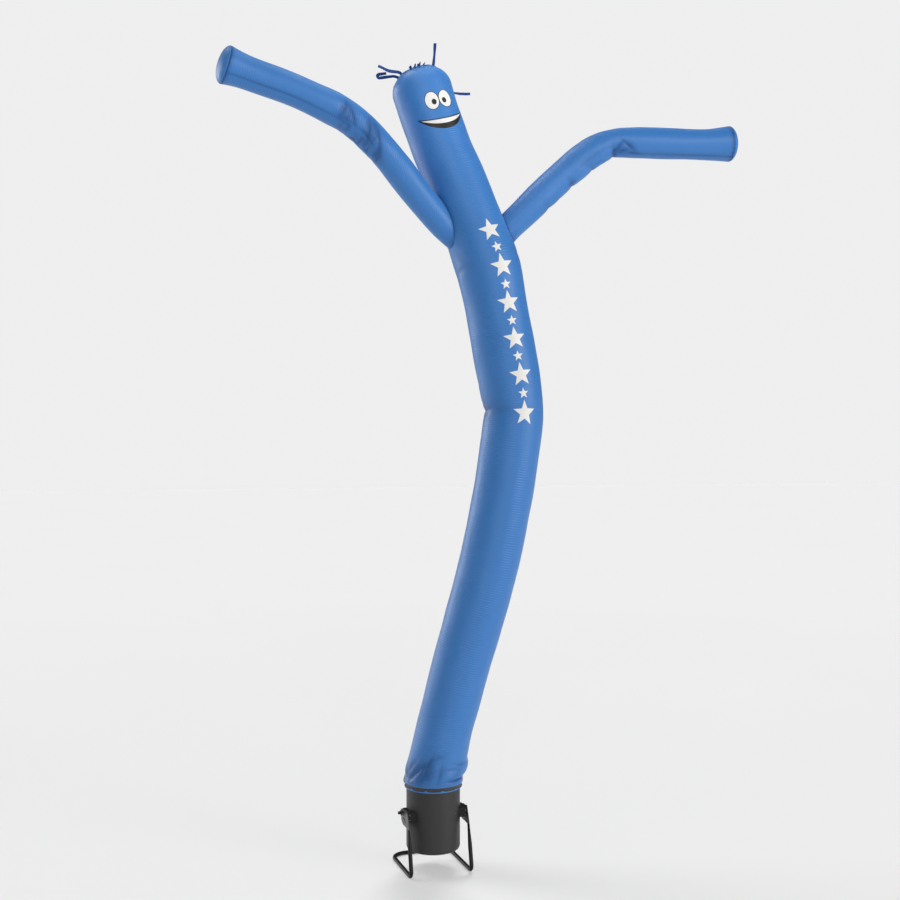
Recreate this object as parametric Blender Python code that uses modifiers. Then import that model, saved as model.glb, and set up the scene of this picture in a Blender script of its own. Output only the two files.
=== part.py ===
"""Inflatable air dancer on its drum blower, standing on a bent tube stand.

Units are metres, +Z is up and the dancer's face looks along -Y.  The origin is on the floor,
under the middle of the stand's back bar.  Shapes are worked out about the drum's own axis and
parented to an empty that stands on that axis.

The cloth is a set of thin-walled tubes: a body tube closed by a round top panel, and two arm
tubes closed by round hand panels.  A tube is a stack of rings along a smooth centre line, and
its folds are soft troughs pressed into the rings.
"""
import math

import bmesh
import bpy
import numpy as np
from mathutils import Vector

# ---------------------------------------------------------------- driving dimensions
GAP = 0.0004                 # between pieces that touch
CLOTH = 0.0015               # wall of the nylon tubes
SEAM_GAP = 0.0012            # between two cloth edges sewn in line
CAP_GAP = 0.0022             # between a tube's end and the round panel sewn into it
BODY_SIDES = 28
ARM_SIDES = 18

DRUM_RADIUS = 0.2023
DRUM_WALL = 0.003
DRUM_BOTTOM = 0.150
DRUM_TOP = 0.655
DRUM_CHAMFER = (0.016, 0.022)    # how far the lower edge draws in, and over what height
DRUM_LIP_RADIUS = 0.165
DRUM_STEPS = 56

GUARD_RADIUS = 0.178
GUARD_THICKNESS = 0.004
GUARD_SLOTS = ((0.035, 0.085), (0.097, 0.152))   # inner and outer radius of each ring of slots
GUARD_SECTORS = 4
GUARD_SPOKE = 0.014

BAND_BOTTOM = 0.621
BAND_TOP = 0.657
BAND_INNER = 0.2080
BAND_OUTER = 0.2150
BAND_ROUNDING = 0.002

TUBE_RADIUS = 0.0155
TUBE_SIDES = 12
TUBE_BENDS = (0.040, 0.110)      # at the front corners, at the back corners
STAND_HALF_WIDTH = 0.234
STAND_FRONT = -0.216
STAND_BACK = 0.335
LEG_TOP = (-0.137, 0.345)        # where a leg ends: behind the drum's axis, and height
LEG_FLAT = (0.0070, 0.0200)      # half thickness and half width of its pressed flat end
LEG_FLAT_REACH = 0.170           # length over which the round tube is pressed flat

PLATE_THICKNESS = 0.006
PLATE_EDGE = [                   # its corners: behind the axis, height, rounding
    (-0.062, 0.346, 0.012),
    (0.006, 0.344, 0.030),
    (0.050, 0.372, 0.020),
    (0.050, 0.455, 0.020),
    (-0.104, 0.470, 0.026),
]
SLOT = ((-0.068, 0.380), (-0.016, 0.400))    # the middles of its round ends
SLOT_HALF_WIDTH = 0.007
PIVOT = (0.010, 0.432)           # the drum's tilt pivot: behind the axis, and height
BRACKET_OUTER = 0.2305
BRACKET_EDGE = [                 # its corners: behind the axis, height
    (-0.112, 0.392),
    (0.036, 0.408),
    (0.036, 0.460),
    (-0.112, 0.464),
]
BRACKET_BOLT_X = 0.218
BRACKET_BOLT_HEIGHTS = (0.443, 0.406)

LEAN_HEADING = 26.5              # the body leans to +X and this many degrees forward
LEAN_REACH = 0.90                # height over which its rings tilt from level to its own line
CROWN_RISE = 0.180               # height of the crown's dome
SEAM_ANGLE = 50.0                # how far up the dome the top panel is sewn in

STRIP_WIDTH = 0.020
STRIP_THICKNESS = 0.003
STRAND_WIDTH = 0.018
STRAND_THICKNESS = 0.0024

HAND_BULGE = 0.056               # how far a hand panel bulges out

# ---------------------------------------------------------------- tables
# The clamped foot of the cloth, ring by ring: height, radius, shift towards +X.
FOOT = [
    (0.611, 0.2076, 0.000),
    (0.636, 0.2076, 0.000),
    (0.660, 0.2079, 0.000),
    (0.664, 0.2140, -0.002),
    (0.670, 0.2215, -0.003),
    (0.682, 0.2280, -0.002),
    (0.700, 0.2320, 0.002),
]

# The body above its foot: height, sway along the lean, diameter.
BODY = [
    (0.700, 0.002, 0.464),
    (0.735, 0.014, 0.471),
    (0.775, 0.025, 0.464),
    (0.830, 0.035, 0.447),
    (0.930, 0.056, 0.433),
    (1.240, 0.134, 0.430),
    (1.550, 0.216, 0.435),
    (1.860, 0.304, 0.444),
    (2.170, 0.390, 0.448),
    (2.480, 0.462, 0.449),
    (2.790, 0.522, 0.448),
    (3.110, 0.572, 0.449),
    (3.420, 0.603, 0.452),
    (3.680, 0.575, 0.467),
    (3.900, 0.534, 0.473),
    (4.240, 0.474, 0.466),
    (4.580, 0.397, 0.490),
    (4.730, 0.342, 0.474),
    (5.030, 0.228, 0.457),
    (5.210, 0.159, 0.451),
    (5.396, 0.075, 0.449),
    (5.530, 0.026, 0.448),
    (5.680, -0.027, 0.449),
    (5.860, -0.084, 0.456),
]
# How far apart the body's rings stand: distance along it, spacing up to there.
BODY_SPACING = [(0.24, 0.040), (2.50, 0.170), (3.10, 0.075), (5.37, 0.165)]

# Folds pressed into a tube: distance along it, degrees around it, slant from the tube's own
# direction in degrees, half length, half width, depth.  Around is counted from the front
# towards +X on the body, and from the top towards the body's left hand side on the arms.
BODY_FOLDS = [
    (0.165, -38, 38, 0.110, 0.030, 0.009),
    (0.125, 2, 24, 0.090, 0.026, 0.007),
    (0.120, 40, -62, 0.070, 0.022, 0.010),
    (0.150, 92, 40, 0.090, 0.028, 0.009),
    (0.160, 150, -30, 0.100, 0.030, 0.008),
    (0.140, -150, 34, 0.100, 0.030, 0.008),
    (0.130, -95, -28, 0.080, 0.028, 0.007),
    (2.935, -112, 90, 0.230, 0.055, 0.020),
]

# The arms: distance out from the body's axis, height, diameter.
LEFT_ARM = [
    (0.110, 4.615, 0.170),
    (0.200, 4.716, 0.180),
    (0.256, 4.786, 0.198),
    (0.330, 4.872, 0.211),
    (0.407, 4.954, 0.217),
    (0.512, 5.068, 0.222),
    (0.612, 5.184, 0.226),
    (0.689, 5.269, 0.221),
    (0.768, 5.349, 0.224),
    (0.853, 5.427, 0.230),
    (0.945, 5.499, 0.233),
    (1.040, 5.556, 0.234),
    (1.143, 5.602, 0.240),
    (1.252, 5.641, 0.231),
    (1.356, 5.676, 0.227),
    (1.466, 5.708, 0.227),
    (1.574, 5.735, 0.229),
    (1.681, 5.760, 0.230),
    (1.786, 5.787, 0.238),
    (1.893, 5.814, 0.267),
]
RIGHT_ARM = [
    (0.100, 4.668, 0.200),
    (0.185, 4.762, 0.204),
    (0.252, 4.838, 0.209),
    (0.363, 4.947, 0.221),
    (0.472, 5.053, 0.229),
    (0.579, 5.158, 0.229),
    (0.689, 5.258, 0.230),
    (0.805, 5.357, 0.235),
    (0.930, 5.445, 0.230),
    (1.073, 5.500, 0.218),
    (1.232, 5.511, 0.231),
    (1.385, 5.515, 0.234),
    (1.539, 5.517, 0.233),
    (1.694, 5.519, 0.232),
    (1.850, 5.523, 0.240),
    (1.945, 5.531, 0.258),
    (1.995, 5.535, 0.268),
]
ARM_RINGS = 32
SHOULDER_HEIGHT = 4.750          # where the arms' planes meet the body's axis
LEFT_HEADING = 183.5             # the arms' plan directions, in degrees from +X
RIGHT_HEADING = -8.5

LEFT_FOLDS = [
    (0.740, 165, 70, 0.090, 0.030, 0.016),
    (0.800, 235, 20, 0.085, 0.026, 0.012),
    (0.910, 185, 60, 0.070, 0.028, 0.010),
    (1.010, 215, 80, 0.080, 0.030, 0.010),
    (1.130, 175, 75, 0.075, 0.030, 0.009),
    (1.200, 240, 25, 0.090, 0.024, 0.009),
    (1.290, 190, 80, 0.070, 0.028, 0.008),
    (1.620, 252, 4, 0.330, 0.014, 0.004),
]
RIGHT_FOLDS = [
    (0.545, 178, 75, 0.090, 0.030, 0.014),
    (0.800, 180, 80, 0.085, 0.028, 0.014),
    (0.960, 168, 84, 0.085, 0.030, 0.020),
    (1.010, 120, 35, 0.090, 0.026, 0.016),
    (1.090, 160, 60, 0.070, 0.026, 0.010),
    (1.560, 128, 2, 0.420, 0.014, 0.004),
]

# Hair strands: facet of the crown strip, length, rise at the root and at the tip in degrees,
# turn sideways in degrees, curl radius, curl turns, twist in degrees.
STRANDS = [
    ("upright", 3, 0.163, 76, 92, 35, 0.000, 0.0, 20),
    ("left_straight", -6, 0.180, -21, 46, -20, 0.000, 0.0, 50),
    ("left_curly", -8, 0.172, -32, 12, -30, 0.000, 0.0, 50),
    ("tuft_a", -3, 0.040, 60, 76, 10, 0.000, 0.0, 20),
    ("tuft_b", -2, 0.032, 66, 80, -12, 0.000, 0.0, 20),
    ("tuft_c", 0, 0.024, 66, 80, 10, 0.000, 0.0, 20),
    ("right", 7, 0.385, -72, 0, -48, 0.000, 0.0, 50),
    ("back_a", 12, 0.190, 0, -50, 20, 0.000, 0.0, 50),
    ("back_b", -12, 0.085, 0, -50, 26, 0.000, 0.0, 50),
]
STRAND_STEPS = 11

COLOURS = {                      # base colour, roughness, metallic
    "cloth": ((0.060, 0.205, 0.545), 0.42, 0.0),
    "hair": ((0.010, 0.040, 0.220), 0.45, 0.0),
    "band": ((0.020, 0.020, 0.022), 0.60, 0.0),
    "drum": ((0.050, 0.050, 0.052), 0.50, 0.3),
    "stand": ((0.028, 0.028, 0.030), 0.42, 0.3),
    "plate": ((0.060, 0.060, 0.064), 0.40, 0.5),
    "bolt": ((0.110, 0.110, 0.115), 0.35, 0.8),
    "knob": ((0.015, 0.015, 0.016), 0.45, 0.0),
}

FRONT = np.array((0.0, -1.0, 0.0))
UP = np.array((0.0, 0.0, 1.0))


# ---------------------------------------------------------------- scene helpers
def new_collection(name):
    collection = bpy.data.collections.new(name)
    bpy.context.scene.collection.children.link(collection)
    return collection


def clear_scene():
    for item in list(bpy.data.objects):
        bpy.data.objects.remove(item, do_unlink=True)


def make_material(name):
    colour, roughness, metallic = COLOURS[name]
    material = bpy.data.materials.new(name)
    material.use_nodes = True
    shader = material.node_tree.nodes["Principled BSDF"]
    shader.inputs["Base Color"].default_value = (*colour, 1.0)
    shader.inputs["Roughness"].default_value = roughness
    shader.inputs["Metallic"].default_value = metallic
    return material


class Kit:
    """The collections, the materials and the empty that every piece hangs on."""

    def __init__(self):
        self.parts = new_collection("inflatable_air_dancer")
        self.cutters = new_collection("cutters")
        self.materials = {name: make_material(name) for name in COLOURS}
        self.axis = bpy.data.objects.new("drum_axis", None)
        self.axis.location = (0.0, -STAND_BACK, 0.0)
        self.parts.objects.link(self.axis)

    def place(self, item, finish):
        """Put a finished piece in the part, with its material, on the drum's axis."""
        self.parts.objects.link(item)
        item.parent = self.axis
        item.data.materials.append(self.materials[finish])
        return item

    def place_cutter(self, item):
        self.cutters.objects.link(item)
        item.parent = self.axis
        item.display_type = "WIRE"
        item.hide_render = True
        return item


# ---------------------------------------------------------------- curves and folds
def smooth_rows(rows, shares):
    """Read a table's columns at shares of the way along a smooth curve through its rows.

    The first two columns are a place, and distance between rows is measured on them.  The
    curve is a cubic between neighbouring rows whose slopes are the mean of the slopes beside
    each row, weighted by the other side's length.
    """
    table = np.array(rows, float)
    spans = np.hypot(*np.diff(table[:, :2], axis=0).T)
    at = np.concatenate(([0.0], np.cumsum(spans)))
    chords = np.diff(table, axis=0) / spans[:, None]
    slopes = np.empty_like(table)
    weight = spans[:-1, None] + spans[1:, None]
    slopes[1:-1] = (chords[:-1] * spans[1:, None] + chords[1:] * spans[:-1, None]) / weight
    slopes[0], slopes[-1] = chords[0], chords[-1]
    places = np.asarray(shares) * at[-1]
    row = np.clip(np.searchsorted(at, places, side="right") - 1, 0, len(spans) - 1)
    span = spans[row][:, None]
    t = ((places - at[row]) / spans[row])[:, None]
    return ((2 * t**3 - 3 * t**2 + 1) * table[row] + (t**3 - 2 * t**2 + t) * span * slopes[row]
            + (3 * t**2 - 2 * t**3) * table[row + 1] + (t**3 - t**2) * span * slopes[row + 1])


def spaced(spacing):
    """Places from 0 to 1 whose steps follow a table of ends and spacings."""
    places = [0.0]
    for end, step in spacing:
        count = round((end - places[-1]) / step)
        places.extend(np.linspace(places[-1], end, count + 1)[1:])
    return np.array(places) / places[-1]


def tangents(points):
    steps = np.gradient(points, axis=0)
    return steps / np.linalg.norm(steps, axis=1)[:, None]


def fold_depth(folds, along, around, radius):
    """How far the folds press in at places along and around a tube.

    A fold is a trough with a sharp bed and soft sides: its depth falls off exponentially
    across it, and as a bell curve along it.
    """
    depth = np.zeros(np.broadcast(along, around).shape)
    for place, degrees, slant, half_length, half_width, deep in folds:
        turn = (around - math.radians(degrees) + math.pi) % (2 * math.pi) - math.pi
        across, ahead = radius * turn, along - place
        lean = math.radians(slant)
        run = ahead * math.cos(lean) + across * math.sin(lean)
        off = across * math.cos(lean) - ahead * math.sin(lean)
        depth += deep * np.exp(-(run / half_length) ** 2 - np.abs(off) / half_width)
    return depth


def ring_grid(centres, radii, ahead, zero, sides, folds=()):
    """Rings of points square to ahead; angle 0 looks along zero, and turns as a screw."""
    first = zero - ahead * (ahead @ zero)[:, None]
    first /= np.linalg.norm(first, axis=1)[:, None]
    second = np.cross(ahead, first)
    angle = np.linspace(0.0, 2 * math.pi, sides, endpoint=False)
    along = np.concatenate(([0.0], np.cumsum(np.linalg.norm(np.diff(centres, axis=0), axis=1))))
    reach = radii[:, None] - fold_depth(folds, along[:, None], angle[None, :], radii[:, None])
    spokes = (first[:, None, :] * np.cos(angle)[None, :, None]
              + second[:, None, :] * np.sin(angle)[None, :, None])
    return centres[:, None, :] + reach[:, :, None] * spokes


def grid_mesh(name, rings, apex=None, lid=False):
    """A mesh through rings of points, open at both ends, or closed by an apex or two lids."""
    count, sides = rings.shape[:2]
    mesh = bpy.data.meshes.new(name)
    shape = bmesh.new()
    corners = [[shape.verts.new(point) for point in ring] for ring in rings]
    for low, high in zip(corners, corners[1:]):
        for side in range(sides):
            after = (side + 1) % sides
            shape.faces.new((low[side], low[after], high[after], high[side]))
    if apex is not None:
        tip = shape.verts.new(apex)
        for side in range(sides):
            shape.faces.new((corners[-1][side], corners[-1][(side + 1) % sides], tip))
    if lid:
        shape.faces.new(list(reversed(corners[0])))
        shape.faces.new(corners[-1])
    shape.to_mesh(mesh)
    shape.free()
    mesh.shade_smooth()
    return mesh


def add_wall(item, thickness, outwards=False):
    wall = item.modifiers.new("wall", "SOLIDIFY")
    wall.thickness = thickness
    wall.offset = 1.0 if outwards else -1.0
    wall.use_even_offset = True
    return wall


def cut(item, cutter, operation="DIFFERENCE"):
    knife = item.modifiers.new("cut", "BOOLEAN")
    knife.operation = operation
    knife.solver = "EXACT"
    knife.object = cutter


# ---------------------------------------------------------------- the body's centre line
def lean(sway):
    """A sway along the lean's heading as x and y."""
    heading = math.radians(LEAN_HEADING)
    return sway * math.cos(heading), -sway * math.sin(heading)


def body_lines():
    """Centres and radii of the body's rings, from the clamped hem up to the crown."""
    centres = [(shift, 0.0, height) for height, radius, shift in FOOT]
    radii = [radius for height, radius, shift in FOOT]
    for height, sway, diameter in smooth_rows(BODY, spaced(BODY_SPACING)[1:]):
        centres.append((*lean(sway), height))
        radii.append(diameter / 2)
    return np.array(centres), np.array(radii)


def body_ahead(centres):
    """The way the body's rings face: straight up at the foot, easing to the body's own line."""
    share = np.clip((centres[:, 2] - FOOT[-1][0]) / LEAN_REACH, 0.0, 1.0)[:, None]
    ease = share**2 * (3 - 2 * share)
    ahead = tangents(centres) * ease + UP * (1 - ease)
    return ahead / np.linalg.norm(ahead, axis=1)[:, None]


def crown_frame():
    """The crown's base: its centre and radius, and the axes along it and across it."""
    centres, radii = body_lines()
    ahead = tangents(centres)[-1]
    first = FRONT - ahead * (ahead @ FRONT)
    first /= np.linalg.norm(first)
    return centres[-1], radii[-1], ahead, first, np.cross(ahead, first)


def crown_grid(degree_list, extra=0.0):
    """Rings over the crown's dome at these degrees up from its base, moved out by extra."""
    centre, radius, ahead, first, second = crown_frame()
    turn = np.linspace(0.0, 2 * math.pi, BODY_SIDES, endpoint=False)
    spokes = np.cos(turn)[:, None] * first + np.sin(turn)[:, None] * second
    return np.array([centre + ahead * (CROWN_RISE + extra) * math.sin(math.radians(degrees))
                     + spokes * (radius + extra) * math.cos(math.radians(degrees))
                     for degrees in degree_list])


def crown_degrees(length):
    """A short length along the dome at its seam, as degrees."""
    centre, radius, ahead, first, second = crown_frame()
    angle = math.radians(SEAM_ANGLE)
    return math.degrees(length / math.hypot(radius * math.sin(angle), CROWN_RISE * math.cos(angle)))


def body_grid(extra=0.0):
    centres, radii = body_lines()
    return ring_grid(centres, radii + extra, body_ahead(centres), FRONT, BODY_SIDES, BODY_FOLDS)


def shoulder_point():
    rows = np.array(BODY)
    sway = np.interp(SHOULDER_HEIGHT, rows[:, 0], rows[:, 1])
    return np.array((*lean(sway), 0.0))


# ---------------------------------------------------------------- cloth
def build_body(kit):
    seam = SEAM_ANGLE - crown_degrees(SEAM_GAP)
    rings = np.concatenate((body_grid(), crown_grid((seam * 0.3, seam * 0.55, seam * 0.78, seam))))
    body = bpy.data.objects.new("body_tube", grid_mesh("body_tube", rings))
    add_wall(body, CLOTH)
    return kit.place(body, "cloth")


def build_head_panel(kit):
    """The round panel sewn into the top of the body tube."""
    rings = crown_grid((SEAM_ANGLE, 60.0, 70.0, 80.0))
    centre, radius, ahead, first, second = crown_frame()
    panel = bpy.data.objects.new("head_panel", grid_mesh("head_panel", rings,
                                                         apex=centre + ahead * CROWN_RISE))
    add_wall(panel, CLOTH)
    return kit.place(panel, "cloth")


def arm_lines(rows, heading):
    """Centres and radii of an arm's rings, in the upright plane through the body's axis."""
    table = smooth_rows(rows, np.linspace(0.0, 1.0, ARM_RINGS))
    angle = math.radians(heading)
    plan = np.array((math.cos(angle), math.sin(angle), 0.0))
    centres = shoulder_point() + table[:, :1] * plan + table[:, 1:2] * UP
    return centres, table[:, 2] / 2


def build_arm(kit, side, rows, heading, folds, cutter):
    centres, radii = arm_lines(rows, heading)
    rings = ring_grid(centres, radii, tangents(centres), UP, ARM_SIDES, folds)
    arm = bpy.data.objects.new(f"arm_tube_{side}", grid_mesh(f"arm_tube_{side}", rings))
    add_wall(arm, CLOTH)
    cut(arm, cutter)
    return kit.place(arm, "cloth")


def build_hand_panel(kit, side, rows, heading):
    """The round panel sewn into an arm's flared end, bulging out like a shallow dome."""
    centres, radii = arm_lines(rows, heading)
    ahead = tangents(centres)[-1:]
    dome = [(0.0, 1.0), (0.35, 0.93), (0.68, 0.74), (0.91, 0.42)]
    along = np.array([reach * HAND_BULGE + CAP_GAP for reach, share in dome])
    spread = np.array([share * radii[-1] for reach, share in dome])
    rings = ring_grid(centres[-1] + along[:, None] * ahead, spread,
                      np.repeat(ahead, len(along), axis=0), UP, ARM_SIDES)
    apex = centres[-1] + ahead[0] * (HAND_BULGE + CAP_GAP)
    name = f"hand_panel_{side}"
    panel = bpy.data.objects.new(name, grid_mesh(name, rings, apex=apex))
    add_wall(panel, CLOTH)
    return kit.place(panel, "cloth")


def build_shoulder_cutter(kit):
    """The body's outside between the arms, a hair larger, to shape the arms' sewn-on ends."""
    rings = body_grid(GAP)
    heights = rings[:, :, 2].mean(axis=1)
    rings = rings[(heights > 4.0) & (heights < 5.5)]
    cutter = bpy.data.objects.new("shoulder_cutter", grid_mesh("shoulder_cutter", rings, lid=True))
    return kit.place_cutter(cutter)


# ---------------------------------------------------------------- hair
def strand_path(row, root, normal, sideways):
    """A strand's middle line: it leaves the root squarely, then follows its rise and turn."""
    name, facet, length, rise, rise_tip, turn, curl, turns, twist = row
    outward = np.array((normal[0], normal[1], 0.0))
    outward /= np.linalg.norm(outward)
    share = np.linspace(0.0, 1.0, STRAND_STEPS)
    lift = np.radians(rise + (rise_tip - rise) * share)
    bend = np.radians(turn * share)
    heading = np.cos(bend)[:, None] * outward + np.sin(bend)[:, None] * sideways
    flow = np.cos(lift)[:, None] * heading + np.sin(lift)[:, None] * UP
    free = np.minimum(1.0, 0.25 + share * 4)[:, None]
    flow = flow * free + normal * (1 - free)
    flow /= np.linalg.norm(flow, axis=1)[:, None]
    step = length / (STRAND_STEPS - 1)
    path = root + np.concatenate((np.zeros((1, 3)), np.cumsum(flow[:-1] * step, axis=0)))
    swing = 2 * math.pi * turns * share
    wide = curl * np.minimum(1.0, share * 3)
    path += (wide * np.sin(swing))[:, None] * sideways
    path += (wide * (1 - np.cos(swing)))[:, None] * np.cross(sideways, flow)
    return path


def build_strand(kit, row, root, normal, sideways):
    """A flat ribbon of four sides along its path, its root sunk in the crown strip."""
    path = strand_path(row, root + normal * STRIP_THICKNESS * 1.6, normal, sideways)
    path = np.concatenate((root[None] + normal * STRIP_THICKNESS * 0.4, path))
    ahead = tangents(path)
    ahead[0] = normal
    twist = np.radians(row[8]) * np.linspace(0.0, 1.0, len(path))
    across = sideways - ahead * (ahead @ sideways)[:, None]
    across /= np.linalg.norm(across, axis=1)[:, None]
    through = np.cross(ahead, across)
    wide = across * np.cos(twist)[:, None] + through * np.sin(twist)[:, None]
    thin = np.cross(ahead, wide)
    corners = [(0.5, 0.5), (-0.5, 0.5), (-0.5, -0.5), (0.5, -0.5)]
    rings = np.stack([path + wide * STRAND_WIDTH * a + thin * STRAND_THICKNESS * b
                      for a, b in corners], axis=1)
    strand = bpy.data.objects.new(f"strand_{row[0]}", grid_mesh(f"strand_{row[0]}", rings, lid=True))
    return kit.place_cutter(strand)


def build_hair(kit):
    """The strip sewn over the crown seam, with every strand fused into it."""
    half = crown_degrees(STRIP_WIDTH / 2)
    rings = crown_grid((SEAM_ANGLE - half, SEAM_ANGLE, SEAM_ANGLE + half), extra=GAP * 2)
    strip = bpy.data.objects.new("hair_strip", grid_mesh("hair_strip", rings))
    add_wall(strip, STRIP_THICKNESS, outwards=True)
    for row in STRANDS:
        side = row[1] % BODY_SIDES
        low, seam, high = rings[:, [side, (side + 1) % BODY_SIDES]]
        sideways = seam[1] - seam[0]
        sideways /= np.linalg.norm(sideways)
        normal = np.cross(sideways, high.mean(axis=0) - low.mean(axis=0))
        normal /= np.linalg.norm(normal)
        cut(strip, build_strand(kit, row, seam.mean(axis=0), normal, sideways), "UNION")
    return kit.place(strip, "hair")


# ---------------------------------------------------------------- turned and flat pieces
def turned(name, profile, steps):
    """A closed profile of radius and height, spun about Z; its outer side runs downwards."""
    mesh = bpy.data.meshes.new(name)
    points = [(radius, 0.0, height) for radius, height in profile]
    edges = [(k, (k + 1) % len(points)) for k in range(len(points))]
    mesh.from_pydata(points, edges, [])
    item = bpy.data.objects.new(name, mesh)
    screw = item.modifiers.new("turn", "SCREW")
    screw.steps = screw.render_steps = steps
    screw.use_merge_vertices = True
    screw.merge_threshold = 0.0001
    screw.use_smooth_shade = True
    return item


def turned_solid(name, profile, steps):
    """As turned, for a profile that starts and ends on the axis."""
    item = turned(name, profile, steps)
    item.data.clear_geometry()
    points = [(radius, 0.0, height) for radius, height in profile]
    item.data.from_pydata(points, [(k, k + 1) for k in range(len(points) - 1)], [])
    return item


def rounded(corners, radius, steps=4, closed=True):
    """A polyline whose corners are replaced by arcs; corners are points of two or three sizes."""
    points = [Vector(corner) for corner in corners]
    count = len(points)
    path = []
    for k, point in enumerate(points):
        if not closed and k in (0, count - 1):
            path.append(point)
            continue
        to_last = (points[k - 1] - point).normalized()
        to_next = (points[(k + 1) % count] - point).normalized()
        opening = to_last.angle(to_next)
        bend = radius[k] if isinstance(radius, (list, tuple)) else radius
        reach = bend / math.tan(opening / 2)
        middle = point + (to_last + to_next).normalized() * (bend / math.sin(opening / 2))
        start, end = point + to_last * reach - middle, point + to_next * reach - middle
        sweep = start.angle(end)
        for step in range(steps + 1):
            share = step / steps
            arm = start * math.sin((1 - share) * sweep) + end * math.sin(share * sweep)
            path.append(middle + arm / math.sin(sweep))
    return path


def add_spline(curve, points, closed=True):
    spline = curve.splines.new("POLY")
    spline.points.add(len(points) - 1)
    for target, point in zip(spline.points, points):
        target.co = (*point, *[0.0] * (3 - len(point)), 1.0)
    spline.use_cyclic_u = closed
    return spline


def flat_piece(name, outlines, thickness):
    """A flat plate: the first outline is its edge and the others are holes."""
    curve = bpy.data.curves.new(name, "CURVE")
    curve.dimensions = "2D"
    curve.fill_mode = "BOTH"
    curve.extrude = thickness / 2
    for outline in outlines:
        add_spline(curve, outline)
    return bpy.data.objects.new(name, curve)


def stand_upright(item, x):
    """Turn a flat piece so its own x and y become the part's y and z, and set it at x."""
    item.rotation_euler = (math.pi / 2, 0.0, math.pi / 2)
    item.location = (x, 0.0, 0.0)


def as_mesh(curve_item):
    """A curve object made a mesh object with its caps welded."""
    depsgraph = bpy.context.evaluated_depsgraph_get()
    mesh = bpy.data.meshes.new_from_object(curve_item.evaluated_get(depsgraph))
    shape = bmesh.new()
    shape.from_mesh(mesh)
    bmesh.ops.remove_doubles(shape, verts=shape.verts, dist=0.00001)
    shape.to_mesh(mesh)
    shape.free()
    name, turn, place = curve_item.name, curve_item.rotation_euler[:], curve_item.location[:]
    bpy.data.objects.remove(curve_item)
    item = bpy.data.objects.new(name, mesh)
    item.rotation_euler, item.location = turn, place
    return item


def arc(centre, radius, start, end, steps):
    return [(centre[0] + radius * math.cos(math.radians(start + (end - start) * k / steps)),
             centre[1] + radius * math.sin(math.radians(start + (end - start) * k / steps)))
            for k in range(steps + 1)]


# ---------------------------------------------------------------- blower
def build_drum(kit):
    inset, rise = DRUM_CHAMFER
    low, wall = DRUM_BOTTOM, DRUM_WALL
    outer, foot = DRUM_RADIUS, DRUM_RADIUS - inset
    profile = [
        (outer, DRUM_TOP),
        (outer, low + rise),
        (outer - inset * 0.35, low + rise * 0.35),
        (foot, low),
        (DRUM_LIP_RADIUS, low),
        (DRUM_LIP_RADIUS, low + wall),
        (foot - wall * 0.2, low + wall),
        (outer - inset * 0.35 - wall, low + rise * 0.35 + wall),
        (outer - wall, low + rise + wall),
        (outer - wall, DRUM_TOP),
    ]
    return kit.place(turned("drum_shell", profile, DRUM_STEPS), "drum")


def build_inlet_guard(kit):
    """A plain slotted disc that lies on the drum's lower lip."""
    outlines = [arc((0, 0), GUARD_RADIUS, 0, 360 * 35 / 36, 35)]
    for inner, outer in GUARD_SLOTS:
        for sector in range(GUARD_SECTORS):
            start = 360 * sector / GUARD_SECTORS
            end = start + 360 / GUARD_SECTORS
            margins = [math.degrees(GUARD_SPOKE / 2 / radius) for radius in (inner, outer)]
            rim = arc((0, 0), outer, start + margins[1], end - margins[1], 6)
            hub = arc((0, 0), inner, end - margins[0], start + margins[0], 4)
            outlines.append(rim + hub)
    guard = flat_piece("inlet_guard", outlines, GUARD_THICKNESS)
    guard.location = (0, 0, DRUM_BOTTOM + DRUM_WALL + GAP + GUARD_THICKNESS / 2)
    return kit.place(guard, "stand")


def build_band(kit):
    """The strap that clamps the cloth's hem to the drum."""
    inset = BAND_ROUNDING
    profile = [
        (BAND_OUTER - inset, BAND_TOP),
        (BAND_OUTER, BAND_TOP - inset * 2),
        (BAND_OUTER, BAND_BOTTOM + inset * 2),
        (BAND_OUTER - inset, BAND_BOTTOM),
        (BAND_INNER, BAND_BOTTOM),
        (BAND_INNER, BAND_TOP),
    ]
    return kit.place(turned("clamp_band", profile, BODY_SIDES), "band")


# ---------------------------------------------------------------- stand
def stand_path():
    """The tube's middle line from one leg's top, round by the back bar, to the other's."""
    half, low = STAND_HALF_WIDTH, TUBE_RADIUS * math.cos(math.pi / TUBE_SIDES)
    front, back = TUBE_BENDS
    corners = [
        (-half, *LEG_TOP),
        (-half, STAND_FRONT, low),
        (-half, STAND_BACK, low),
        (half, STAND_BACK, low),
        (half, STAND_FRONT, low),
        (half, *LEG_TOP),
    ]
    path = rounded(corners, [0, front, back, back, front, 0], 5, closed=False)
    shares = np.linspace(0.0, 0.6, 6)[:, None]
    first, second, last = np.array(path[0]), np.array(path[1]), np.array(path[-1])
    leg = first + (second - first) * shares
    other = last + (np.array(path[-2]) - last) * shares
    return np.concatenate((leg, np.array(path[1:-1]), other[::-1]))


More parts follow.
